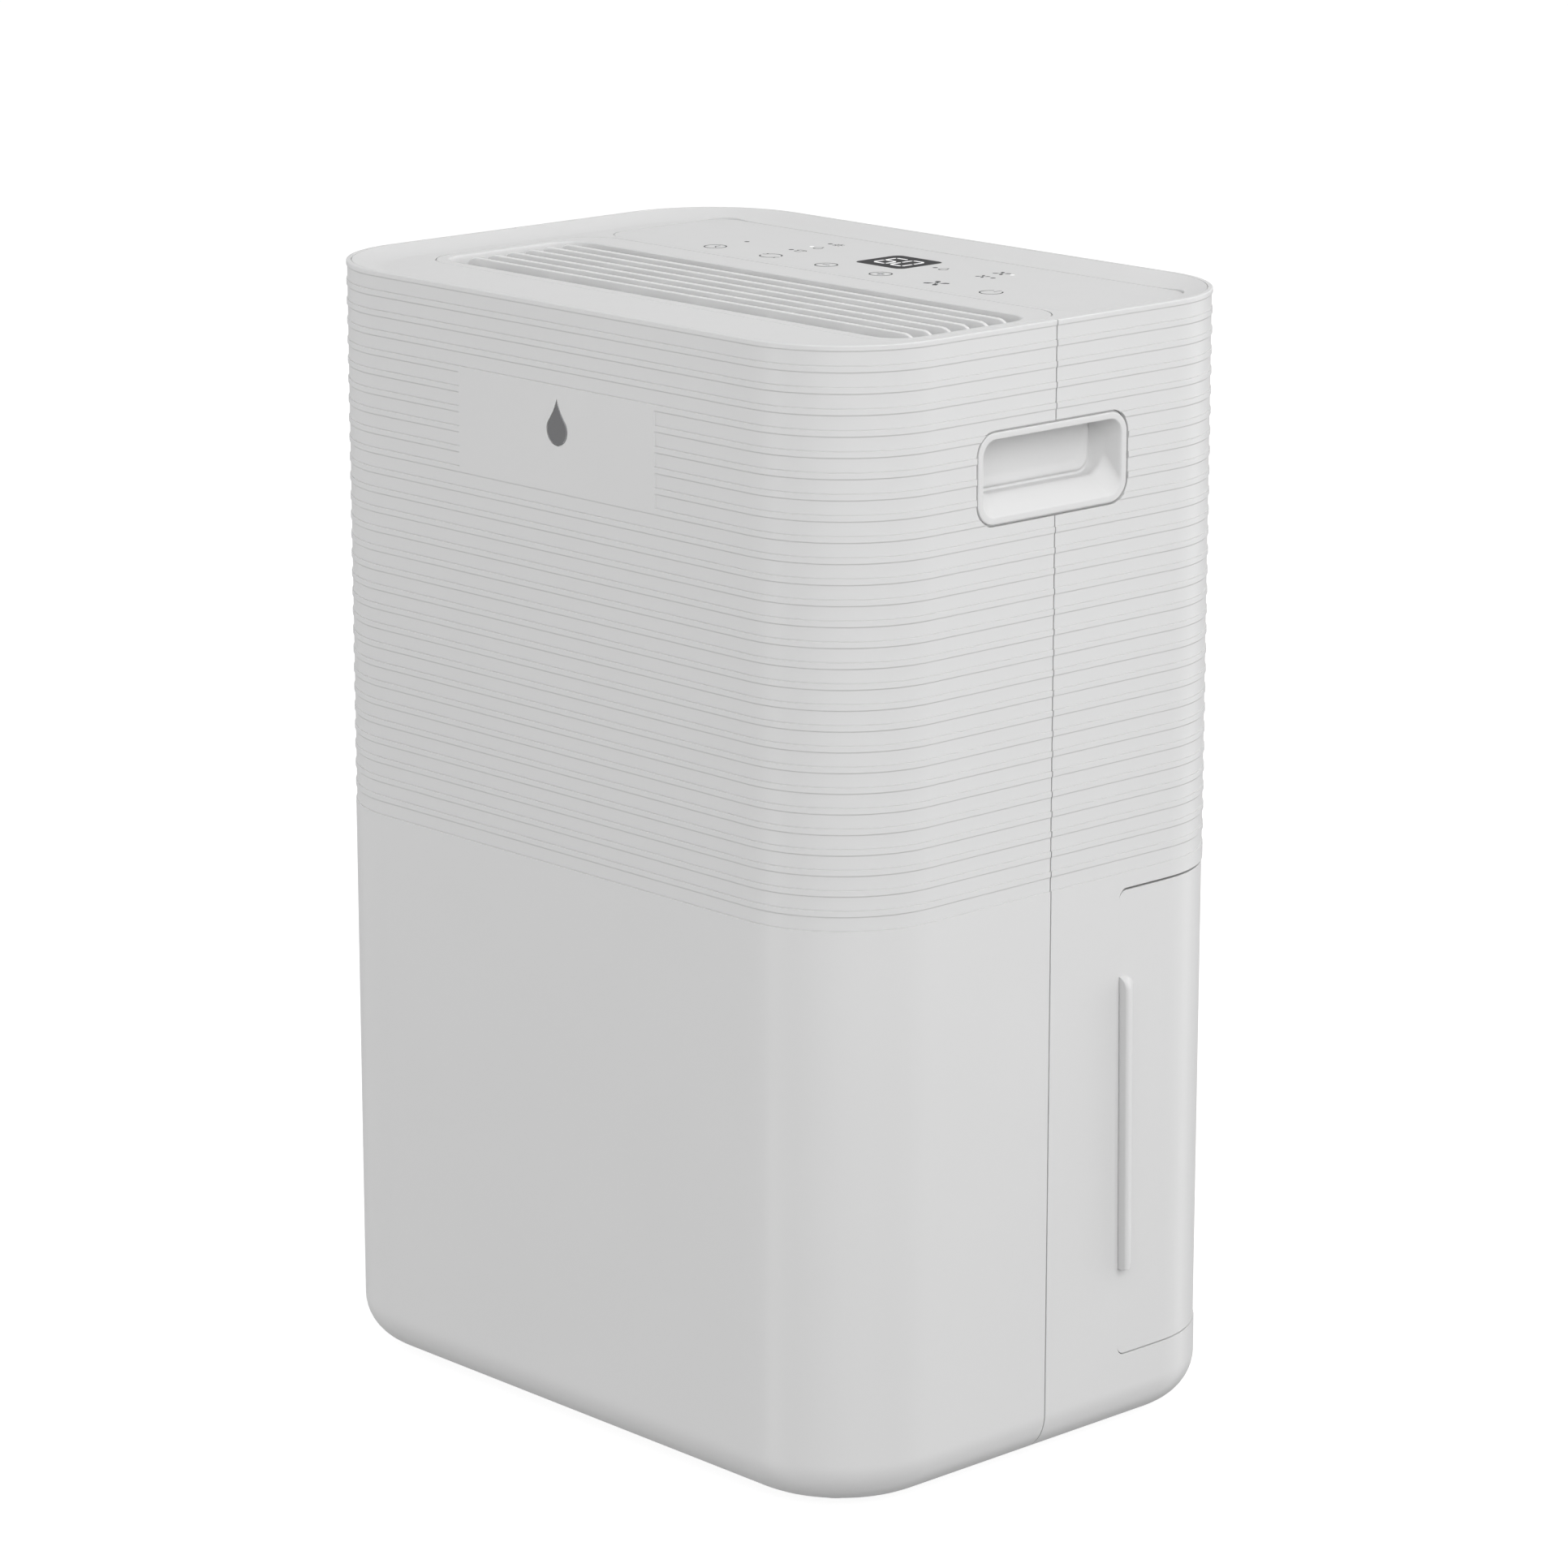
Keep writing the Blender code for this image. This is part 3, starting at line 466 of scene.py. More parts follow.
def cover_shape(side):
    """Half of the casing, with its grooves; on the front a plain patch interrupts some of them."""
    rings = []
    for (x, y), (nx, ny) in half_columns(side, SEAM_Y + side * SEAM / 2):
        on_patch = side < 0 and abs(nx) < 1e-6 and abs(x) <= PATCH_HALF
        ring = []
        for inset, z, depth, k in cover_levels():
            d = inset + (0 if on_patch and k in PATCH_GROOVES else depth)
            ring.append((x - nx * d, y - ny * d, z))
        rings.append(ring)
    return loft(rings)


def window_outline(shrink, top_gap=0.0, r=4.5):
    """The tank window seen from the side, with round front corners; it runs out past the rear."""
    low = WINDOW_LOW_Z + shrink
    high = WINDOW_HIGH_Z - shrink - top_gap
    low_y = WINDOW_LOW_Y + shrink
    high_y = WINDOW_TOP_Y + shrink
    points = [(FAR, low), (FAR, high)]
    points += arc(high_y + r, high - r, r, 90, 180, 6)
    points += arc(low_y + r, low + r, r, 180, 270, 6)
    return points


def pocket_hole():
    """The openings of both finger pockets, right through the casing."""
    return prism(rounded(POCKET_Y, POCKET_Z, POCKET_LONG, POCKET_HIGH, POCKET_R, 12), "X", -FAR, FAR)


def make_covers():
    hole = pocket_hole()
    drop = prism(drop_outline(0.3), "Y", -DEPTH / 2 - 5, -DEPTH / 2 + 1.2)
    steps = [("DIFFERENCE", combine(hole, drop))]
    shape = cover_shape(-1)
    piece("front_shell", shape, "white_plastic", "housing", ["front_cover"], steps)

    joined = []
    cuts = [hole, prism(window_outline(0.0), "X", -FAR, FAR)]
    fx, fz, fw, fh = filter_place()
    cuts.append(prism(rounded(fx, fz, fw + 0.6, fh + 0.6, 10, 8), "Y", 90, FAR))
    for node in ("drain_port", "cord_gland"):
        x, z, r = round_place(node)
        cuts.append(turned([(r + 0.4, 110), (r + 0.4, FAR)], (x, z), "Y", 32))
    for k in range(1, 5):
        x, z, _ = round_place(f"cover_screw_{k}")
        joined.append(turned([(7, 117), (7, DEPTH / 2 - 1)], (x, z), "Y", 24))
        well = [(2.4, 100), (2.4, 121), (4.6, 121), (4.6, DEPTH / 2 - 1)]
        well += [(5.2, DEPTH / 2 + 0.1), (5.2, FAR)]
        cuts.append(turned(well, (x, z), "Y", 24))
    steps = [("UNION", combine(*joined)), ("DIFFERENCE", combine(*cuts))]
    shape = cover_shape(1)
    piece("rear_shell", shape, "white_plastic", "housing", ["rear_cover"], steps)


def seam_path(inset, end):
    """(x, z) down the right wall at an inset and round the fillet to an angle, in degrees."""
    bend = arc(WIDTH / 2 - FILLET, BOTTOM + FILLET, FILLET - inset, 0, end, 12)
    return [(WIDTH / 2 - inset, TOP - 13), *bend]


def make_seam_tongues():
    """A thin tongue behind each side seam and a rib under the base, so that no light comes through."""
    outline = [*seam_path(WALL + 0.05, -75), *reversed(seam_path(WALL + 1.05, -75))]
    y = (SEAM_Y - 2.5, SEAM_Y + 2.5)
    foot = WIDTH / 2 - FILLET - 0.3
    strips = []
    for side in (-1, 1):
        strips.append(prism([(side * x, z) for x, z in outline], "Y", *y))
        strips.append(block(sorted((side * foot, side * (foot - 12))), y, (BOTTOM + 0.1, BOTTOM + 3.2)))
    steps = [("DIFFERENCE", pocket_hole())]
    piece("seam_tongues", combine(*strips), "white_plastic", "housing", steps=steps)


def round_place(node):
    """(x, z, radius) of a node that is round about a line along Y."""
    low, high = node_box(node)
    return (low[0] + high[0]) / 2, (low[2] + high[2]) / 2, (high[0] - low[0]) / 2


def filter_place():
    low, high = node_box("filter_frame")
    return (low[0] + high[0]) / 2, (low[2] + high[2]) / 2, high[0] - low[0], high[2] - low[2]


def drop_outline(grow=0.0):
    """A water drop: a round bowl that narrows to a point above it."""
    low, high = node_box("front_badge")
    r = (high[0] - low[0]) / 2
    cx = (low[0] + high[0]) / 2
    cz = low[2] + r
    points = arc(cx, cz, r + grow, 150, 390, 40)
    tip = high[2] + 2 * grow
    for side in (1, -1):
        start = points[-1] if side > 0 else points[0]
        pull = (cx + side * r * 0.28, cz + r * 1.25)
        curve = []
        for k in range(1, 6):
            t = k / 6
            shares = ((1 - t) ** 2, 2 * t * (1 - t), t * t)
            ends = zip(start, pull, (cx, tip))
            curve.append(tuple(sum(s * c for s, c in zip(shares, each)) for each in ends))
        points = points + curve + [(cx, tip)] if side > 0 else points + list(reversed(curve))
    return points


def make_badge():
    low, high = node_box("front_badge")
    shape = prism(drop_outline(-0.1), "Y", low[1], high[1])
    piece("drop_badge", shape, "chrome", "housing", ["front_badge"], bevel=0.5, segments=4)


def pocket_ring(side, deep, ends, foot, head, r):
    """The pocket's section at a depth, inset by its own amount at the ends, the foot and the head."""
    long = POCKET_LONG - 2 * ends
    high = POCKET_HIGH - foot - head
    z = POCKET_Z + (foot - head) / 2
    return [(side * (WIDTH / 2 - deep), y, z) for y, z in rounded(POCKET_Y, z, long, high, r, 12)]


def make_pocket(name, side, node):
    """The finger pocket: a flush frame, drafted walls, a foot that ramps up, and a raised back plate."""
    levels = [
        (19.5, 0.8, 0.8, 0.8, 9.7),
        (2.4, 0.8, 0.8, 0.8, 9.7),
        (2.4, 0.12, 0.12, 0.12, 10.4),
        (2.1, 0.12, 0.12, 0.12, 10.4),
        (2.1, 0.9, 0.9, 0.9, 9.7),
        (0.6, 0.95, 0.95, 0.95, 9.6),
        (0.4, 1.15, 1.15, 1.15, 9.4),
        (0.3, 1.7, 1.7, 1.7, 9.0),
        (0.3, 3.5, 3.5, 3.5, 7.4),
        (0.5, 3.9, 4.0, 3.85, 7.1),
        (1.0, 4.3, 4.6, 4.0, 7.0),
        (2.2, 4.7, 5.8, 4.1, 7.2),
        (4.0, 5.2, 7.8, 4.1, 7.8),
        (6.0, 5.7, 9.9, 4.1, 8.6),
        (7.6, 6.1, 11.4, 4.1, 9.2),
        (8.6, 6.4, 12.0, 4.1, 9.4),
        (9.5, 6.8, 12.2, 4.1, 9.4),
        (10.5, 7.2, 12.1, 4.1, 9.0),
        (12.0, 7.9, 11.9, 4.1, 8.2),
        (14.4, 9.0, 12.2, 4.1, 7.2),
        (14.8, 9.6, 12.8, 4.1, 6.8),
        (14.7, 10.1, 13.3, 4.1, 6.4),
        (14.1, 10.4, 13.6, 4.1, 6.1),
        (13.6, 10.8, 14.1, 4.2, 5.9),
        (13.4, 11.5, 14.8, 4.5, 5.4),
        (13.5, 12.5, 15.8, 5.4, 4.8),
        (13.8, 14.4, 17.3, 7.0, 3.9),
        (14.0, 17.0, 19.0, 9.0, 3.0),
    ]
    rings = [pocket_ring(side, *level) for level in levels]
    piece(name, loft(rings), "white_plastic", "housing", [node], angle=46)


# ---------------------------------------------------------------- top


def grille_place():
    low, high = node_box("outlet_grille")
    return (low[0] + high[0]) / 2, (low[1] + high[1]) / 2, high[0] - low[0], high[1] - low[1]


def panel_place():
    low, high = node_box("control_panel")
    return (low[0] + high[0]) / 2, (low[1] + high[1]) / 2, high[0] - low[0], high[1] - low[1]


def make_top():
    """The top cover dishes softly from the rim down to the level deck."""
    gap = 0.35
    edge = TOP - 0.1
    inset = WALL + 0.2
    levels = [(inset + WALL, DECK - WALL), (inset + WALL, DECK - 11.5)]
    levels += [(inset, DECK - 11.5), (inset, edge - 0.15)]
    for k in range(15):
        t = k / 14
        levels.append((inset + 0.12 + DISH * t, DECK + (edge - DECK) * (1 - t) ** 1.5))
    rings = [[(x, y, z) for x, y in plan(i)] for i, z in levels]
    gx, gy, gw, gh = grille_place()
    px, py, pw, ph = panel_place()
    openings = [
        prism(rounded(gx, gy, gw + 2 * gap, gh + 2 * gap, 20, 16), "Z", 400, 600),
        prism(rounded(px, py, pw + 2 * gap, ph + 2 * gap, 12, 12), "Z", 400, 600),
    ]
    steps = [("DIFFERENCE", combine(*openings))]
    piece("top_cover", loft(rings), "white_plastic", "housing", ["top_deck"], steps)


def make_grille():
    """A bezel round the outlet, with slats whose ends drop in a round shoulder, and ribs under them."""
    gx, gy, gw, gh = grille_place()
    mx, my, mw, mh = 0.0, -27.5, 294.0, 81.0
    low = DECK - 11.0
    plate = loft([
        [(x, y, DECK - 3.5) for x, y in rounded(gx, gy, gw, gh, 19.8, 16)],
        [(x, y, DECK - 0.3) for x, y in rounded(gx, gy, gw, gh, 19.8, 16)],
        [(x, y, DECK) for x, y in rounded(gx, gy, gw - 0.6, gh - 0.6, 19.5, 16)],
    ])
    skirt = prism(rounded(mx, my, mw + 4, mh + 4, 17, 12), "Z", low, DECK - 1)
    well = [(-1.4, low - 5), (-1.4, DECK - 9.0), (-0.9, DECK - 5.5), (-0.5, DECK - 2.4), (-0.2, DECK - 0.9)]
    well += [(0.05, DECK - 0.4), (0.4, DECK - 0.12), (0.9, DECK + 0.02), (0.9, DECK + 20)]
    rings = []
    for grow, z in well:
        across = grow if grow > 0 else grow * 0.25
        outline = rounded(mx, my, mw + 2 * grow, mh + 2 * across, 14 + grow * 0.5, 12)
        rings.append([(x, y, z) for x, y in outline])
    steps = [("UNION", skirt), ("DIFFERENCE", loft(rings))]
    piece("outlet_bezel", plate, "white_plastic", "housing", ["outlet_grille"], steps)

    end = mw / 2 - 3.0
    half = [(end, low + 1), (end, DECK - 4.6), (142.2, DECK - 3.2)]
    half += [(141.6, DECK - 2.2), (140.7, DECK - 1.3), (139.3, DECK - 0.6)]
    half += [(137.8, DECK - 0.15), (136.3, DECK)]
    outline = [*half, *[(-x, z) for x, z in reversed(half)]]
    last_y, pitch, thick = 1.5, 10.9, 1.9
    middles = [last_y - pitch * k for k in range(6)]
    slats = combine(*[prism(outline, "Y", y - thick / 2, y + thick / 2) for y in middles])
    # The slats and ribs wear the lighter copy of the white plastic, painted light against the shade between
    # them.
    piece("outlet_slats", slats, "slat_plastic_painted_light", "housing", bevel=0.55, segments=3)
    ribs = [
        block((x - 0.9, x + 0.9), (my - mh / 2 - 1, my + mh / 2 + 1), (low + 2, DECK - 4))
        for x in (-131.0, -84.0, -37.0, 10.0, 57.0, 104.0)
    ]
    piece("outlet_ribs", combine(*ribs), "slat_plastic_painted_light", "housing")


def make_panel():
    px, py, pw, ph = panel_place()
    levels = [(0.0, DECK - 2.7), (0.0, DECK - 0.3), (0.12, DECK - 0.08), (0.35, DECK)]
    rings = []
    for i, z in levels:
        rings.append([(x, y, z) for x, y in rounded(px, py, pw - 2 * i, ph - 2 * i, 11.8 - i, 12)])
    low, high = node_box("display_window")
    wx, wy = (low[0] + high[0]) / 2, (low[1] + high[1]) / 2
    ww, wh = high[0] - low[0], high[1] - low[1]
    well = prism(rounded(wx, wy, ww + 0.3, wh + 0.3, 4.1, 8), "Z", DECK - 1.4, DECK + 5)
    steps = [("DIFFERENCE", well)]
    piece("touch_panel", loft(rings), "panel_film", "housing", ["control_panel"], steps)
    glass = prism(rounded(wx, wy, ww, wh, 4.0, 8), "Z", DECK - 1.2, DECK - 0.03)
    piece("display_lens", glass, "display_glass", "housing", ["display_window"])
    make_digits(wx, wy)
    make_symbols()


def make_digits(wx, wy):
    """Two seven-segment digits that shine through the window."""
    on = {"6": "acdefg", "0": "abcdef"}
    w, h, bar = 7.4, 14.4, 1.4
    shapes = []
    for digit, cx in (("6", wx - 5.2), ("0", wx + 5.2)):
        x0, x1 = cx - w / 2, cx + w / 2
        y0, ym, y1 = wy - h / 2, wy, wy + h / 2
        ends = {
            "a": ((x0, y1), (x1, y1)),
            "b": ((x1, ym), (x1, y1)),
            "c": ((x1, y0), (x1, ym)),
            "d": ((x0, y0), (x1, y0)),
            "e": ((x0, y0), (x0, ym)),
            "f": ((x0, ym), (x0, y1)),
            "g": ((x0, ym), (x1, ym)),
        }
        for segment in on[digit]:
            (ax, ay), (bx, by) = ends[segment]
            length = math.dist((ax, ay), (bx, by))
            ux, uy = (bx - ax) / length, (by - ay) / length
            nx, ny = -uy * bar / 2, ux * bar / 2
            gap, tip = 0.35, bar / 2
            outline = [
                (ax + ux * gap, ay + uy * gap),
                (ax + ux * (gap + tip) - nx, ay + uy * (gap + tip) - ny),
                (bx - ux * (gap + tip) - nx, by - uy * (gap + tip) - ny),
                (bx - ux * gap, by - uy * gap),
                (bx - ux * (gap + tip) + nx, by - uy * (gap + tip) + ny),
                (ax + ux * (gap + tip) + nx, ay + uy * (gap + tip) + ny),
            ]
            shapes.append(prism(outline, "Z", DECK - 0.5, DECK + 0.02))
    piece("display_digits", combine(*shapes), "light_on", "housing")


INK_LOW = 0.05
INK_HIGH = 0.03


def stroke(points, width=0.7, closed=False):
    return ribbon(points, width, DECK - INK_LOW, DECK + INK_HIGH, closed)


def ring(cx, cy, r, width=0.7):
    return stroke(circle(cx, cy, r, 36), width, True)


def dot(cx, cy, r):
    return prism(circle(cx, cy, r, 20), "Z", DECK - INK_LOW, DECK + INK_HIGH)


def fan_symbol(cx, cy, r):
    """Four curved blades round a hub."""
    shapes = [dot(cx, cy, r * 0.16)]
    for k in range(4):
        a = math.radians(90 * k + 20)
        blade = []
        for s, t in ((0.22, 0.0), (0.55, 0.42), (0.95, 0.42), (1.0, 0.1), (0.6, -0.05)):
            u, v = s * r, t * r
            blade.append((cx + u * math.cos(a) - v * math.sin(a), cy + u * math.sin(a) + v * math.cos(a)))
        shapes.append(prism(blade, "Z", DECK - INK_LOW, DECK + INK_HIGH))
    return shapes


def drop_symbol(cx, cy, r):
    points = [*arc(cx, cy - r * 0.3, r * 0.7, 150, 390, 14), (cx, cy + r)]
    return [stroke(points, 0.5, True)]


def shirt_symbol(cx, cy, r):
    half = [(0.25, 0.8), (0.7, 0.75), (1.1, 0.35), (0.8, 0.1), (0.6, 0.3), (0.6, -0.9)]
    points = [(cx + x * r, cy + y * r) for x, y in half]
    points += [(cx - x * r, cy + y * r) for x, y in reversed(half)]
    return [stroke(points, 0.5, True)]


def sun_symbol(cx, cy, r):
    shapes = [ring(cx, cy, r * 0.5, 0.5)]
    for k in range(8):
        a = math.radians(45 * k)
        ends = [(cx + s * r * math.cos(a), cy + s * r * math.sin(a)) for s in (0.72, 1.05)]
        shapes.append(stroke(ends, 0.5))
    return shapes


def make_symbols():
    """Generic printed key symbols, and indicator lights in columns above the mode and fan keys."""
    y = 46.0
    r = 5.0
    timer_x, mode_x, minus_x, plus_x, fan_x, power_x = -87.6, -50.8, -14.9, 19.8, 54.6, 88.0
    ink = [ring(x, y, r) for x in (timer_x, minus_x, plus_x)]
    ink.append(stroke([(timer_x, y + 3.0), (timer_x, y), (timer_x + 2.0, y - 1.6)], 0.65))
    for start in (20, 200):
        ink.append(stroke(arc(mode_x, y, r, start, start + 140, 16)))
        a = math.radians(start + 140)
        tip = (mode_x + r * math.cos(a), y + r * math.sin(a))
        for turn in (40, 150):
            b = math.radians(start + 140 - 90 + turn)
            ink.append(stroke([tip, (tip[0] + 1.8 * math.cos(b), tip[1] + 1.8 * math.sin(b))], 0.65))
    ink.append(stroke([(minus_x - 2.2, y), (minus_x + 2.2, y)], 0.65))
    ink.append(stroke([(plus_x - 2.2, y), (plus_x + 2.2, y)], 0.65))
    ink.append(stroke([(plus_x, y - 2.2), (plus_x, y + 2.2)], 0.65))
    ink += fan_symbol(fan_x, y, 5.6)
    ink.append(stroke(arc(power_x, y, r, 120, 420, 30)))
    ink.append(stroke([(power_x, y + 1.8), (power_x, y + 6.3)], 0.5))
    ink += shirt_symbol(-51.8, 65.0, 2.6) + drop_symbol(-52.2, 77.0, 2.8) + sun_symbol(-52.2, 89.0, 2.8)
    ink += drop_symbol(29.4, 75.7, 2.8)
    ink += fan_symbol(55.2, 73.8, 3.2) + fan_symbol(55.2, 85.6, 4.0)
    piece("printed_symbols", combine(*ink), "ink", "housing")
    off_at = ((-88.2, 66.0), (-57.4, 64.7), (-57.4, 88.9), (23.7, 75.7), (61.3, 74.0))
    off = [dot(x, yy, 1.2) for x, yy in off_at]
    piece("lights_off", combine(*off), "light_off", "housing")
    lit = [dot(x, yy, 1.1) for x, yy in ((-57.4, 77.4), (61.3, 86.0))]
    piece("lights_on", combine(*lit), "light_on", "housing")


# ---------------------------------------------------------------- tank panel


def edge_y(z):
    """The window's front edge leans: its y at a height."""
    t = (z - WINDOW_LOW_Z) / (WINDOW_HIGH_Z - WINDOW_LOW_Z)
    return WINDOW_LOW_Y + (WINDOW_TOP_Y - WINDOW_LOW_Y) * t


def lip_shape(side):
    """The pull lip: a square front face, a rounded outer edge and a back that runs down in an S."""
    surface = WIDTH / 2 - PANEL_SUNK
    long = 9.5
    top_r = 4.8
    levels = [(LIP_LOW_Z, 0.75), (LIP_LOW_Z + 0.35, 0.93), (LIP_LOW_Z + 0.9, 1.0)]
    for k in range(13):
        a = math.radians(88 * k / 12)
        levels.append((LIP_HIGH_Z - top_r + top_r * math.sin(a), math.cos(a)))
    rings = []
    for z, share in levels:
        h = LIP_PROUD * share
        reach = 2.0 + (long - 2.0) * share
        start = edge_y(z) + 0.25
        r = min(1.5, h * 0.6)
        section = [(-1.0, 0.0)]
        for j in range(1, 7):
            b = math.radians(15 * j)
            section.append((h - r + r * math.sin(b), r - r * math.cos(b)))
        for j in range(1, 13):
            t = j / 12
            fall = (1 + math.cos(math.pi * t)) / 2
            section.append((h * fall - (0.3 if j == 12 else 0), r + (reach - r) * t))
        section.append((-1.0, reach))
        rings.append([(side * (surface + out), start + back, z) for out, back in section])
    return loft(rings)


def make_tank_panel():
    inner = PANEL_SUNK + WALL
    levels = [(PANEL_SUNK, 20.0), (PANEL_SUNK, 270.0), (inner, 270.0), (inner, 20.0)]
    rings = []
    for (x, y), (nx, ny) in half_columns(1, WINDOW_TOP_Y - 10):
        rings.append([(x - nx * inset, y - ny * inset, z) for inset, z in levels])
    keep = prism(window_outline(0.35, top_gap=0.85, r=4.4), "X", -FAR, FAR)
    steps = [("INTERSECT", keep)]
    look = "white_plastic"
    panel = piece("tank_cover", loft(rings), look, "tank", ["tank_panel"], steps, bevel=0.25)
    add_lips(panel)


def add_lips(panel):
    """Joins the two pull lips to the panel, after its edges have been rounded."""
    panel.modifiers.clear()
    carve(panel, [("UNION", combine(lip_shape(-1), lip_shape(1)))])
    panel.data.set_sharp_from_angle(angle=math.radians(35))
    weigh = panel.modifiers.new("normals", "WEIGHTED_NORMAL")
    weigh.keep_sharp = True


# ---------------------------------------------------------------- rear


def make_filter():
    """The pull-out intake filter: a rounded frame with raked slats and upright bars."""
    fx, fz, fw, fh = filter_place()
    low, high = node_box("filter_frame")
    levels = [(0.0, low[1]), (0.0, high[1] - 0.8), (0.25, high[1] - 0.25), (0.8, high[1])]
    rings = [[(x, y, z) for x, z in rounded(fx, fz, fw - 2 * i, fh - 2 * i, 9.7 - i, 8)] for i, y in levels]
    opening = prism(rounded(fx, fz, fw - 18, fh - 20, 4, 6), "Y", 90, FAR)
    notch = turned([(12, 121), (12, FAR)], (fx, high[2] + 5), "Y", 32)
    steps = [("DIFFERENCE", combine(opening, notch))]
    look = "white_plastic"
    piece("filter_surround", loft(rings), look, "filter", ["filter_frame"], steps, bevel=0.3)
    slats = []
    count = 15
    pitch = (fh - 20) / count
    half = fw / 2 - 8.5
    outer, inner = high[1] - 0.6, high[1] - 7.5
    for k in range(count):
        z = fz - (fh - 20) / 2 + pitch * (k + 0.5)
        section = [(outer, z - 2.6), (outer, z - 1.2), (inner, z + 3.0), (inner, z + 1.6)]
        slats.append(prism(section, "X", fx - half, fx + half))
    piece("filter_slats", combine(*slats), "white_plastic", "filter", bevel=0.3)
    bar_y, bar_z = (low[1] + 0.5, high[1] - 5), (low[2] + 5, high[2] - 5)
    bars = [block((x - 1.2, x + 1.2), bar_y, bar_z) for x in (-50, 0, 50)]
    piece("filter_bars", combine(*bars), "white_plastic", "filter")


def make_screws():
    for k in range(1, 5):
        node = f"cover_screw_{k}"
        x, z, r = round_place(node)
        low, high = node_box(node)
        y = high[1]
        head = [(2.0, low[1]), (2.0, y - 3.0), (r, y - 3.0), (r, y - 1.3)]
        head += [(r * 0.86, y - 0.6), (r * 0.5, y - 0.15), (0.4, y)]
        long, half = 2.3, 0.55
        arm = [(long, -half), (long, half), (half, half), (half, long), (-half, long), (-half, half)]
        outline = [(x + u, z + v) for u, v in [*arm, *[(-u, -v) for u, v in arm]]]
        cross = prism(outline, "Y", y - 1.7, y + 1)
        shape = turned(head, (x, z), "Y", 28)
        steps = [("DIFFERENCE", cross)]
        piece(f"screw_{k}", shape, "zinc_steel", "housing", [node], steps)


def make_drain():
    """The spigot of the continuous drain, and the rubber bung with its finger tab."""
    x, z, r = round_place("drain_port")
    low, high = node_box("drain_port")
    y = high[1]
    port = [(r, low[1]), (r, y - 0.5), (r - 0.4, y), (5.3, y), (5.0, y - 0.4), (5.0, low[1])]
    shape = turned(port, (x, z), "Y", 40, bored=True)
    piece("drain_spigot", shape, "grey_plastic", "housing", ["drain_port"])

    x, z, r = round_place("drain_plug")
    low, high = node_box("drain_plug")
    y = high[1]
    plug = [(3.6, low[1]), (4.4, low[1] + 1.2), (4.7, low[1] + 2.5), (4.4, low[1] + 3.2), (4.4, y - 2.4)]
    plug += [(r - 0.3, y - 2.4), (r, y - 2.0), (r, y - 0.9), (r - 0.5, y - 0.25)]
    plug += [(r - 1.4, y - 0.05), (r - 2.2, y - 0.5), (0.5, y - 0.6)]
    tab = prism(rounded(x, z - 4.2, 7, 10, 3, 6), "Y", y - 1.5, y - 0.1)
    steps = [("UNION", tab)]
    shape = turned(plug, (x, z), "Y", 40)
    piece("drain_bung", shape, "black_rubber", "drain_plug", ["drain_plug"], steps)


def make_gland():
    x, z, r = round_place("cord_gland")
    low, high = node_box("cord_gland")
    y = high[1]
    gland = [(r - 1.0, low[1]), (r - 1.0, y - 3), (r, y - 2.6), (r, y - 0.9), (r - 0.5, y - 0.2)]
    gland += [(r - 1.4, y), (4.6, y), (4.0, y - 0.6), (4.0, low[1])]
    shape = turned(gland, (x, z), "Y", 40, bored=True)
    piece("gland", shape, "black_rubber", "housing", ["cord_gland"])


def make_feet():
    for y_name in ("front", "rear"):
        for x_name in ("left", "right"):
            node = f"foot_{y_name}_{x_name}"
            low, high = node_box(node)
            centre = ((low[0] + high[0]) / 2, (low[1] + high[1]) / 2)
            r = (high[0] - low[0]) / 2
            profile = [(r - 3.0, 0.0), (r - 1.0, 0.15), (r - 0.2, 0.7), (r, 1.4)]
            profile += [(r - 0.3, 2.2), (r - 2, high[2])]
            shape = turned(profile, centre, "Z", 48)
            piece(f"{node}_pad", shape, "grey_rubber", "housing", [node])


# ---------------------------------------------------------------- nodes that stay


def dress_cad_nodes():
    """The CAD nodes that stay get the finish of their slot in the record."""
    slots = {row["node"]: row["material_slot"] for row in frame["record"]["subparts"]}
    for name, obj in frame["nodes"].items():
        obj.data.materials.clear()
        obj.data.materials.append(finishes[slots[name]])


# ---------------------------------------------------------------- stage


# Metres here. SKY and GROUND are the world's strengths above and below the horizon, and STRIPS holds the
# azimuth in degrees and the strength of each strip light.
CENTRE = (0.0, 0.0, 0.25)
SKY = 0.62
GROUND = 0.37
STRIPS = ((-107.0, 2.1), (77.0, 1.3))
STRIP_HALF = math.radians(3)
STRIP_SOFT = math.radians(4)
# Each light's name, place, size and power in watts.
LIGHTS = (
    ("softbox_right", (2.0, 0.3, 1.4), (2.0, 2.0), 24.5),
    ("softbox_left", (-3.0, -0.5, 0.9), (3.0, 3.0), 49.0),
    ("softbox_corner", (1.6, -1.6, 1.3), (1.8, 1.8), 18.0),
    ("softbox_top", (0.2, -0.2, 4.0), (3.0, 3.0), 3.0),
    ("softbox_rear", (0.3, 3.0, 0.9), (3.0, 3.0), 45.0),
)
FLOOR_GLOW = 0.86
FLOOR_TONE = 0.25
BACKDROP_GLOW = 1.0
BACKDROP_TONE = 0.02
FLOOR_HALF = 60.0
WALL_AT = 20.0
WALL_FOOT = -1.0
CAMERA_AT = (1.77446, -1.65057, 0.88763)
AIM_AT = (0.0033, 0.0035, 0.2719)
LENS = 129.07


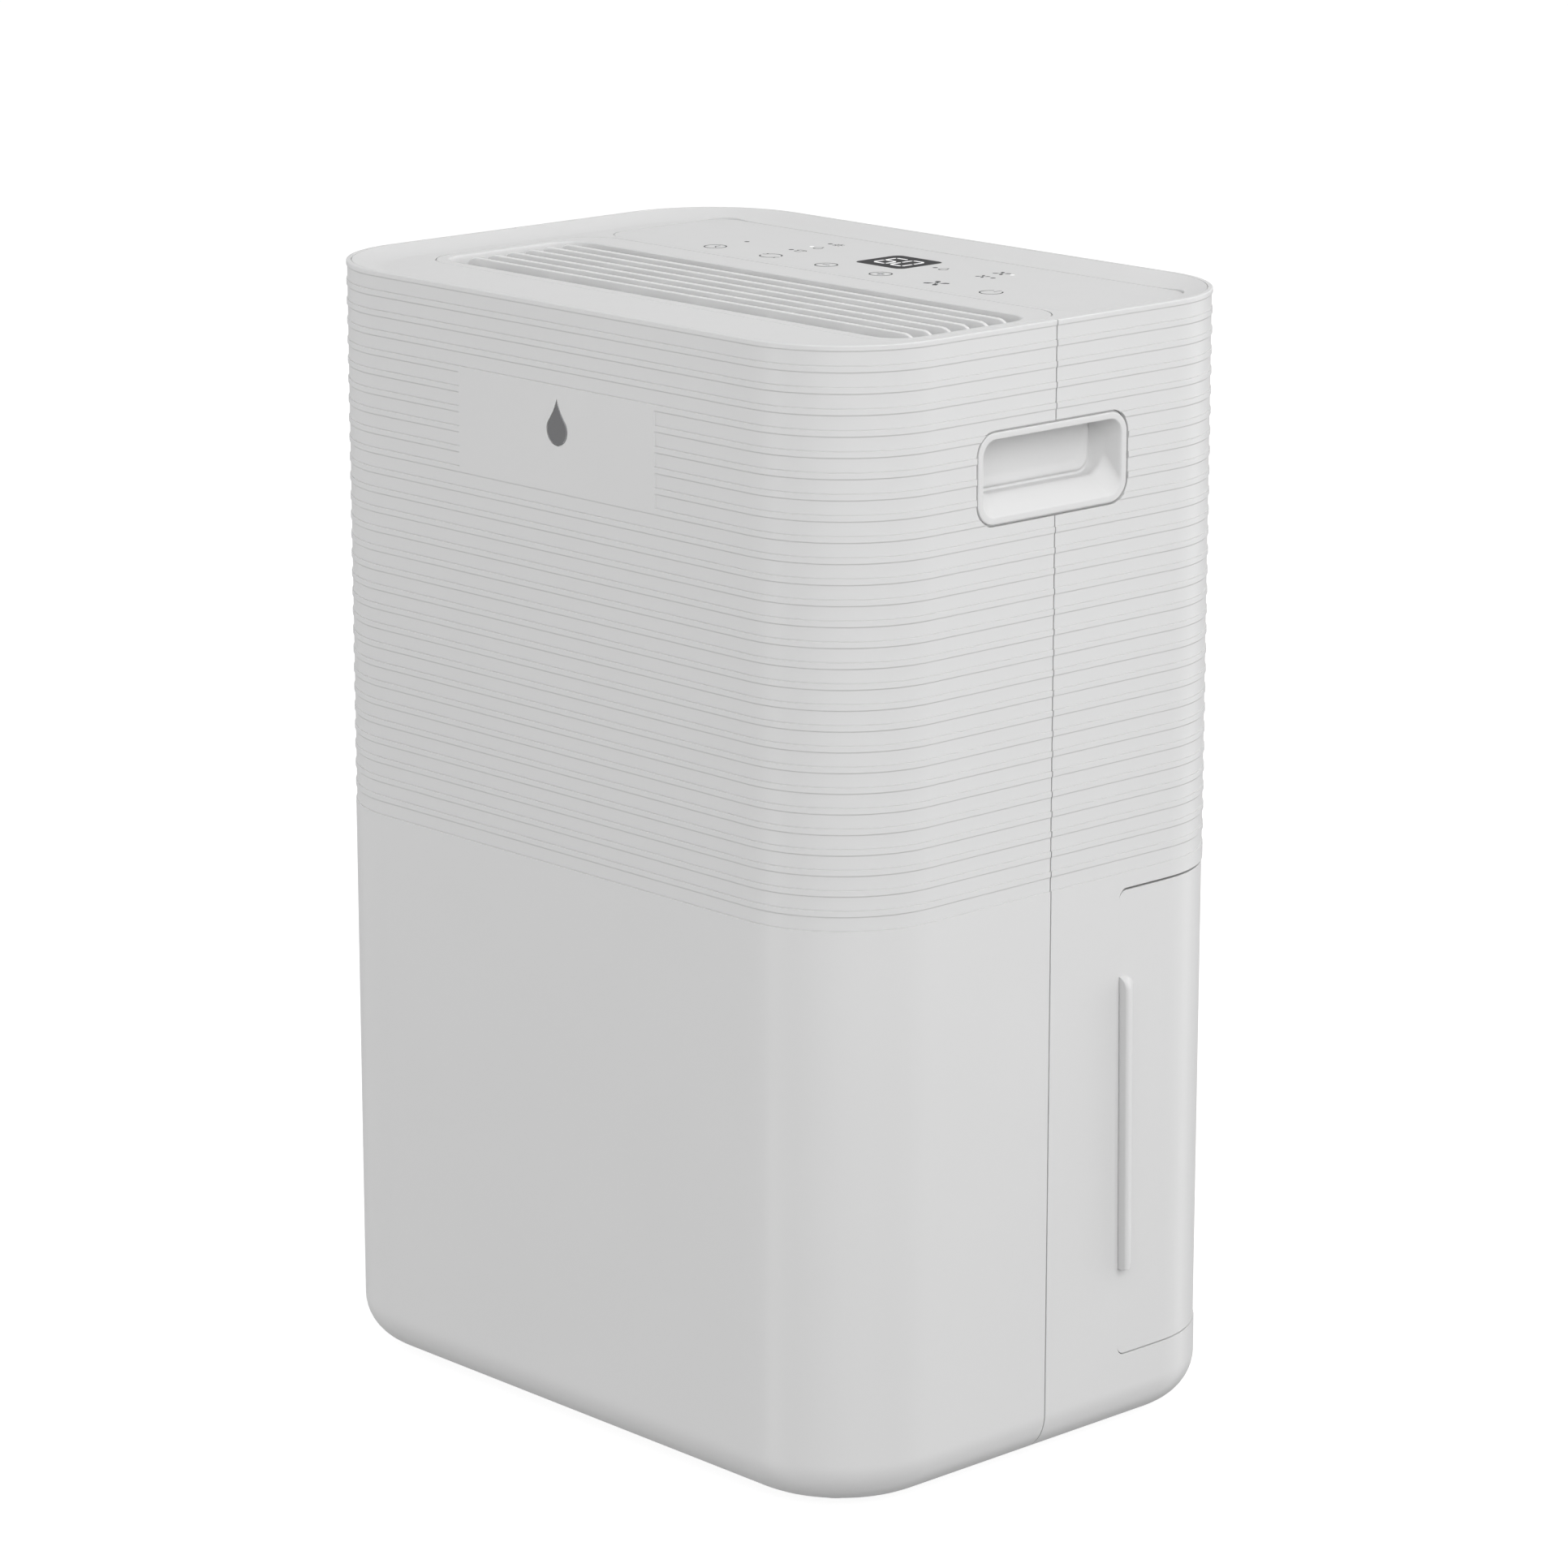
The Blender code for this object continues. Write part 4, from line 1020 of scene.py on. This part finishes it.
def area_light(name, place_m, size, power):
    data = bpy.data.lights.new(name, "AREA")
    data.shape = "RECTANGLE"
    data.size, data.size_y = size
    data.energy = power
    lamp = bpy.data.objects.new(name, data)
    bpy.context.scene.collection.objects.link(lamp)
    lamp.visible_glossy = False
    lamp.location = place_m
    lamp.rotation_mode = "QUATERNION"
    lamp.rotation_quaternion = (Vector(CENTRE) - Vector(place_m)).to_track_quat("-Z", "Y")


def ramp(tree, value, start, stop, low, high):
    """A smooth step from one number to another as the value goes from start to stop."""
    node = tree.nodes.new("ShaderNodeMapRange")
    node.interpolation_type = "SMOOTHSTEP"
    for socket, number in zip(("From Min", "From Max", "To Min", "To Max"), (start, stop, low, high)):
        node.inputs[socket].default_value = number
    link(tree, value, node.inputs["Value"])
    return node.outputs[0]


def make_world():
    """A plain studio: one even tone above the horizon, another below it, and two upright strip lights."""
    world = bpy.data.worlds.new("studio")
    bpy.context.scene.world = world
    world.use_nodes = True
    tree = world.node_tree
    split = tree.nodes.new("ShaderNodeSeparateXYZ")
    link(tree, tree.nodes.new("ShaderNodeTexCoord").outputs["Generated"], split.inputs[0])
    level = ramp(tree, split.outputs["Z"], -0.1, 0.1, GROUND, SKY)
    azimuth = math_node(tree, "ARCTAN2", split.outputs["Y"], split.outputs["X"])
    low_enough = ramp(tree, split.outputs["Z"], 0.35, 0.55, 1.0, 0.0)
    total = level
    for degrees, strength in STRIPS:
        off_centre = math_node(tree, "SUBTRACT", azimuth, math.radians(degrees))
        distance = math_node(tree, "ABSOLUTE", off_centre, 0.0)
        strip = ramp(tree, distance, STRIP_HALF, STRIP_HALF + STRIP_SOFT, strength, 0.0)
        total = math_node(tree, "ADD", total, math_node(tree, "MULTIPLY", strip, low_enough))
    link(tree, total, tree.nodes["Background"].inputs["Strength"])
    tree.nodes["Background"].inputs["Color"].default_value = (1, 1, 1, 1)


def set_piece(name, shape, tone, glow):
    """A pale, faintly glowing part of the stage that neither lights nor shades the object."""
    mesh = to_mesh(name, shape)
    obj = link_object(name, mesh)
    obj.visible_diffuse = False
    obj.visible_glossy = False
    obj.visible_shadow = False
    pale = bpy.data.materials.new(name)
    pale.use_nodes = True
    shader = pale.node_tree.nodes["Principled BSDF"]
    shader.inputs["Base Color"].default_value = (tone, tone, tone, 1)
    shader.inputs["Roughness"].default_value = 1.0
    shader.inputs["Specular IOR Level"].default_value = 0.0
    shader.inputs["Emission Color"].default_value = (1, 1, 1, 1)
    shader.inputs["Emission Strength"].default_value = glow
    mesh.materials.append(pale)


def make_floor_and_backdrop():
    """A wide floor, and a round white wall far behind it on every side."""
    far = FLOOR_HALF / MM
    corners = [(-far, -far, 0), (far, -far, 0), (far, far, 0), (-far, far, 0)]
    set_piece("floor", (corners, [(0, 1, 2, 3)]), FLOOR_TONE, FLOOR_GLOW)
    wall = prism(circle(0, 0, WALL_AT / MM, 96), "Z", WALL_FOOT / MM, WALL_AT / MM)
    set_piece("backdrop", wall, BACKDROP_TONE, BACKDROP_GLOW)


def make_stage():
    make_world()
    make_floor_and_backdrop()
    for light in LIGHTS:
        area_light(*light)
    bpy.context.scene.view_settings.view_transform = "Standard"


def make_camera():
    data = bpy.data.cameras.new("camera")
    data.sensor_width = 36.0
    data.lens = LENS
    camera = bpy.data.objects.new("camera", data)
    bpy.context.scene.collection.objects.link(camera)
    camera.location = CAMERA_AT
    camera.rotation_mode = "QUATERNION"
    camera.rotation_quaternion = (Vector(AIM_AT) - Vector(CAMERA_AT)).to_track_quat("-Z", "Y")
    data.clip_start = 0.05
    data.clip_end = 100.0
    bpy.context.scene.camera = camera


def main():
    make_finishes()
    dress_cad_nodes()
    make_covers()
    make_seam_tongues()
    make_badge()
    make_pocket("finger_pocket_left", -1, "handle_pocket_left")
    make_pocket("finger_pocket_right", 1, "handle_pocket_right")
    make_top()
    make_grille()
    make_panel()
    make_tank_panel()
    make_filter()
    make_screws()
    make_drain()
    make_gland()
    make_feet()
    make_stage()
    make_camera()


main()
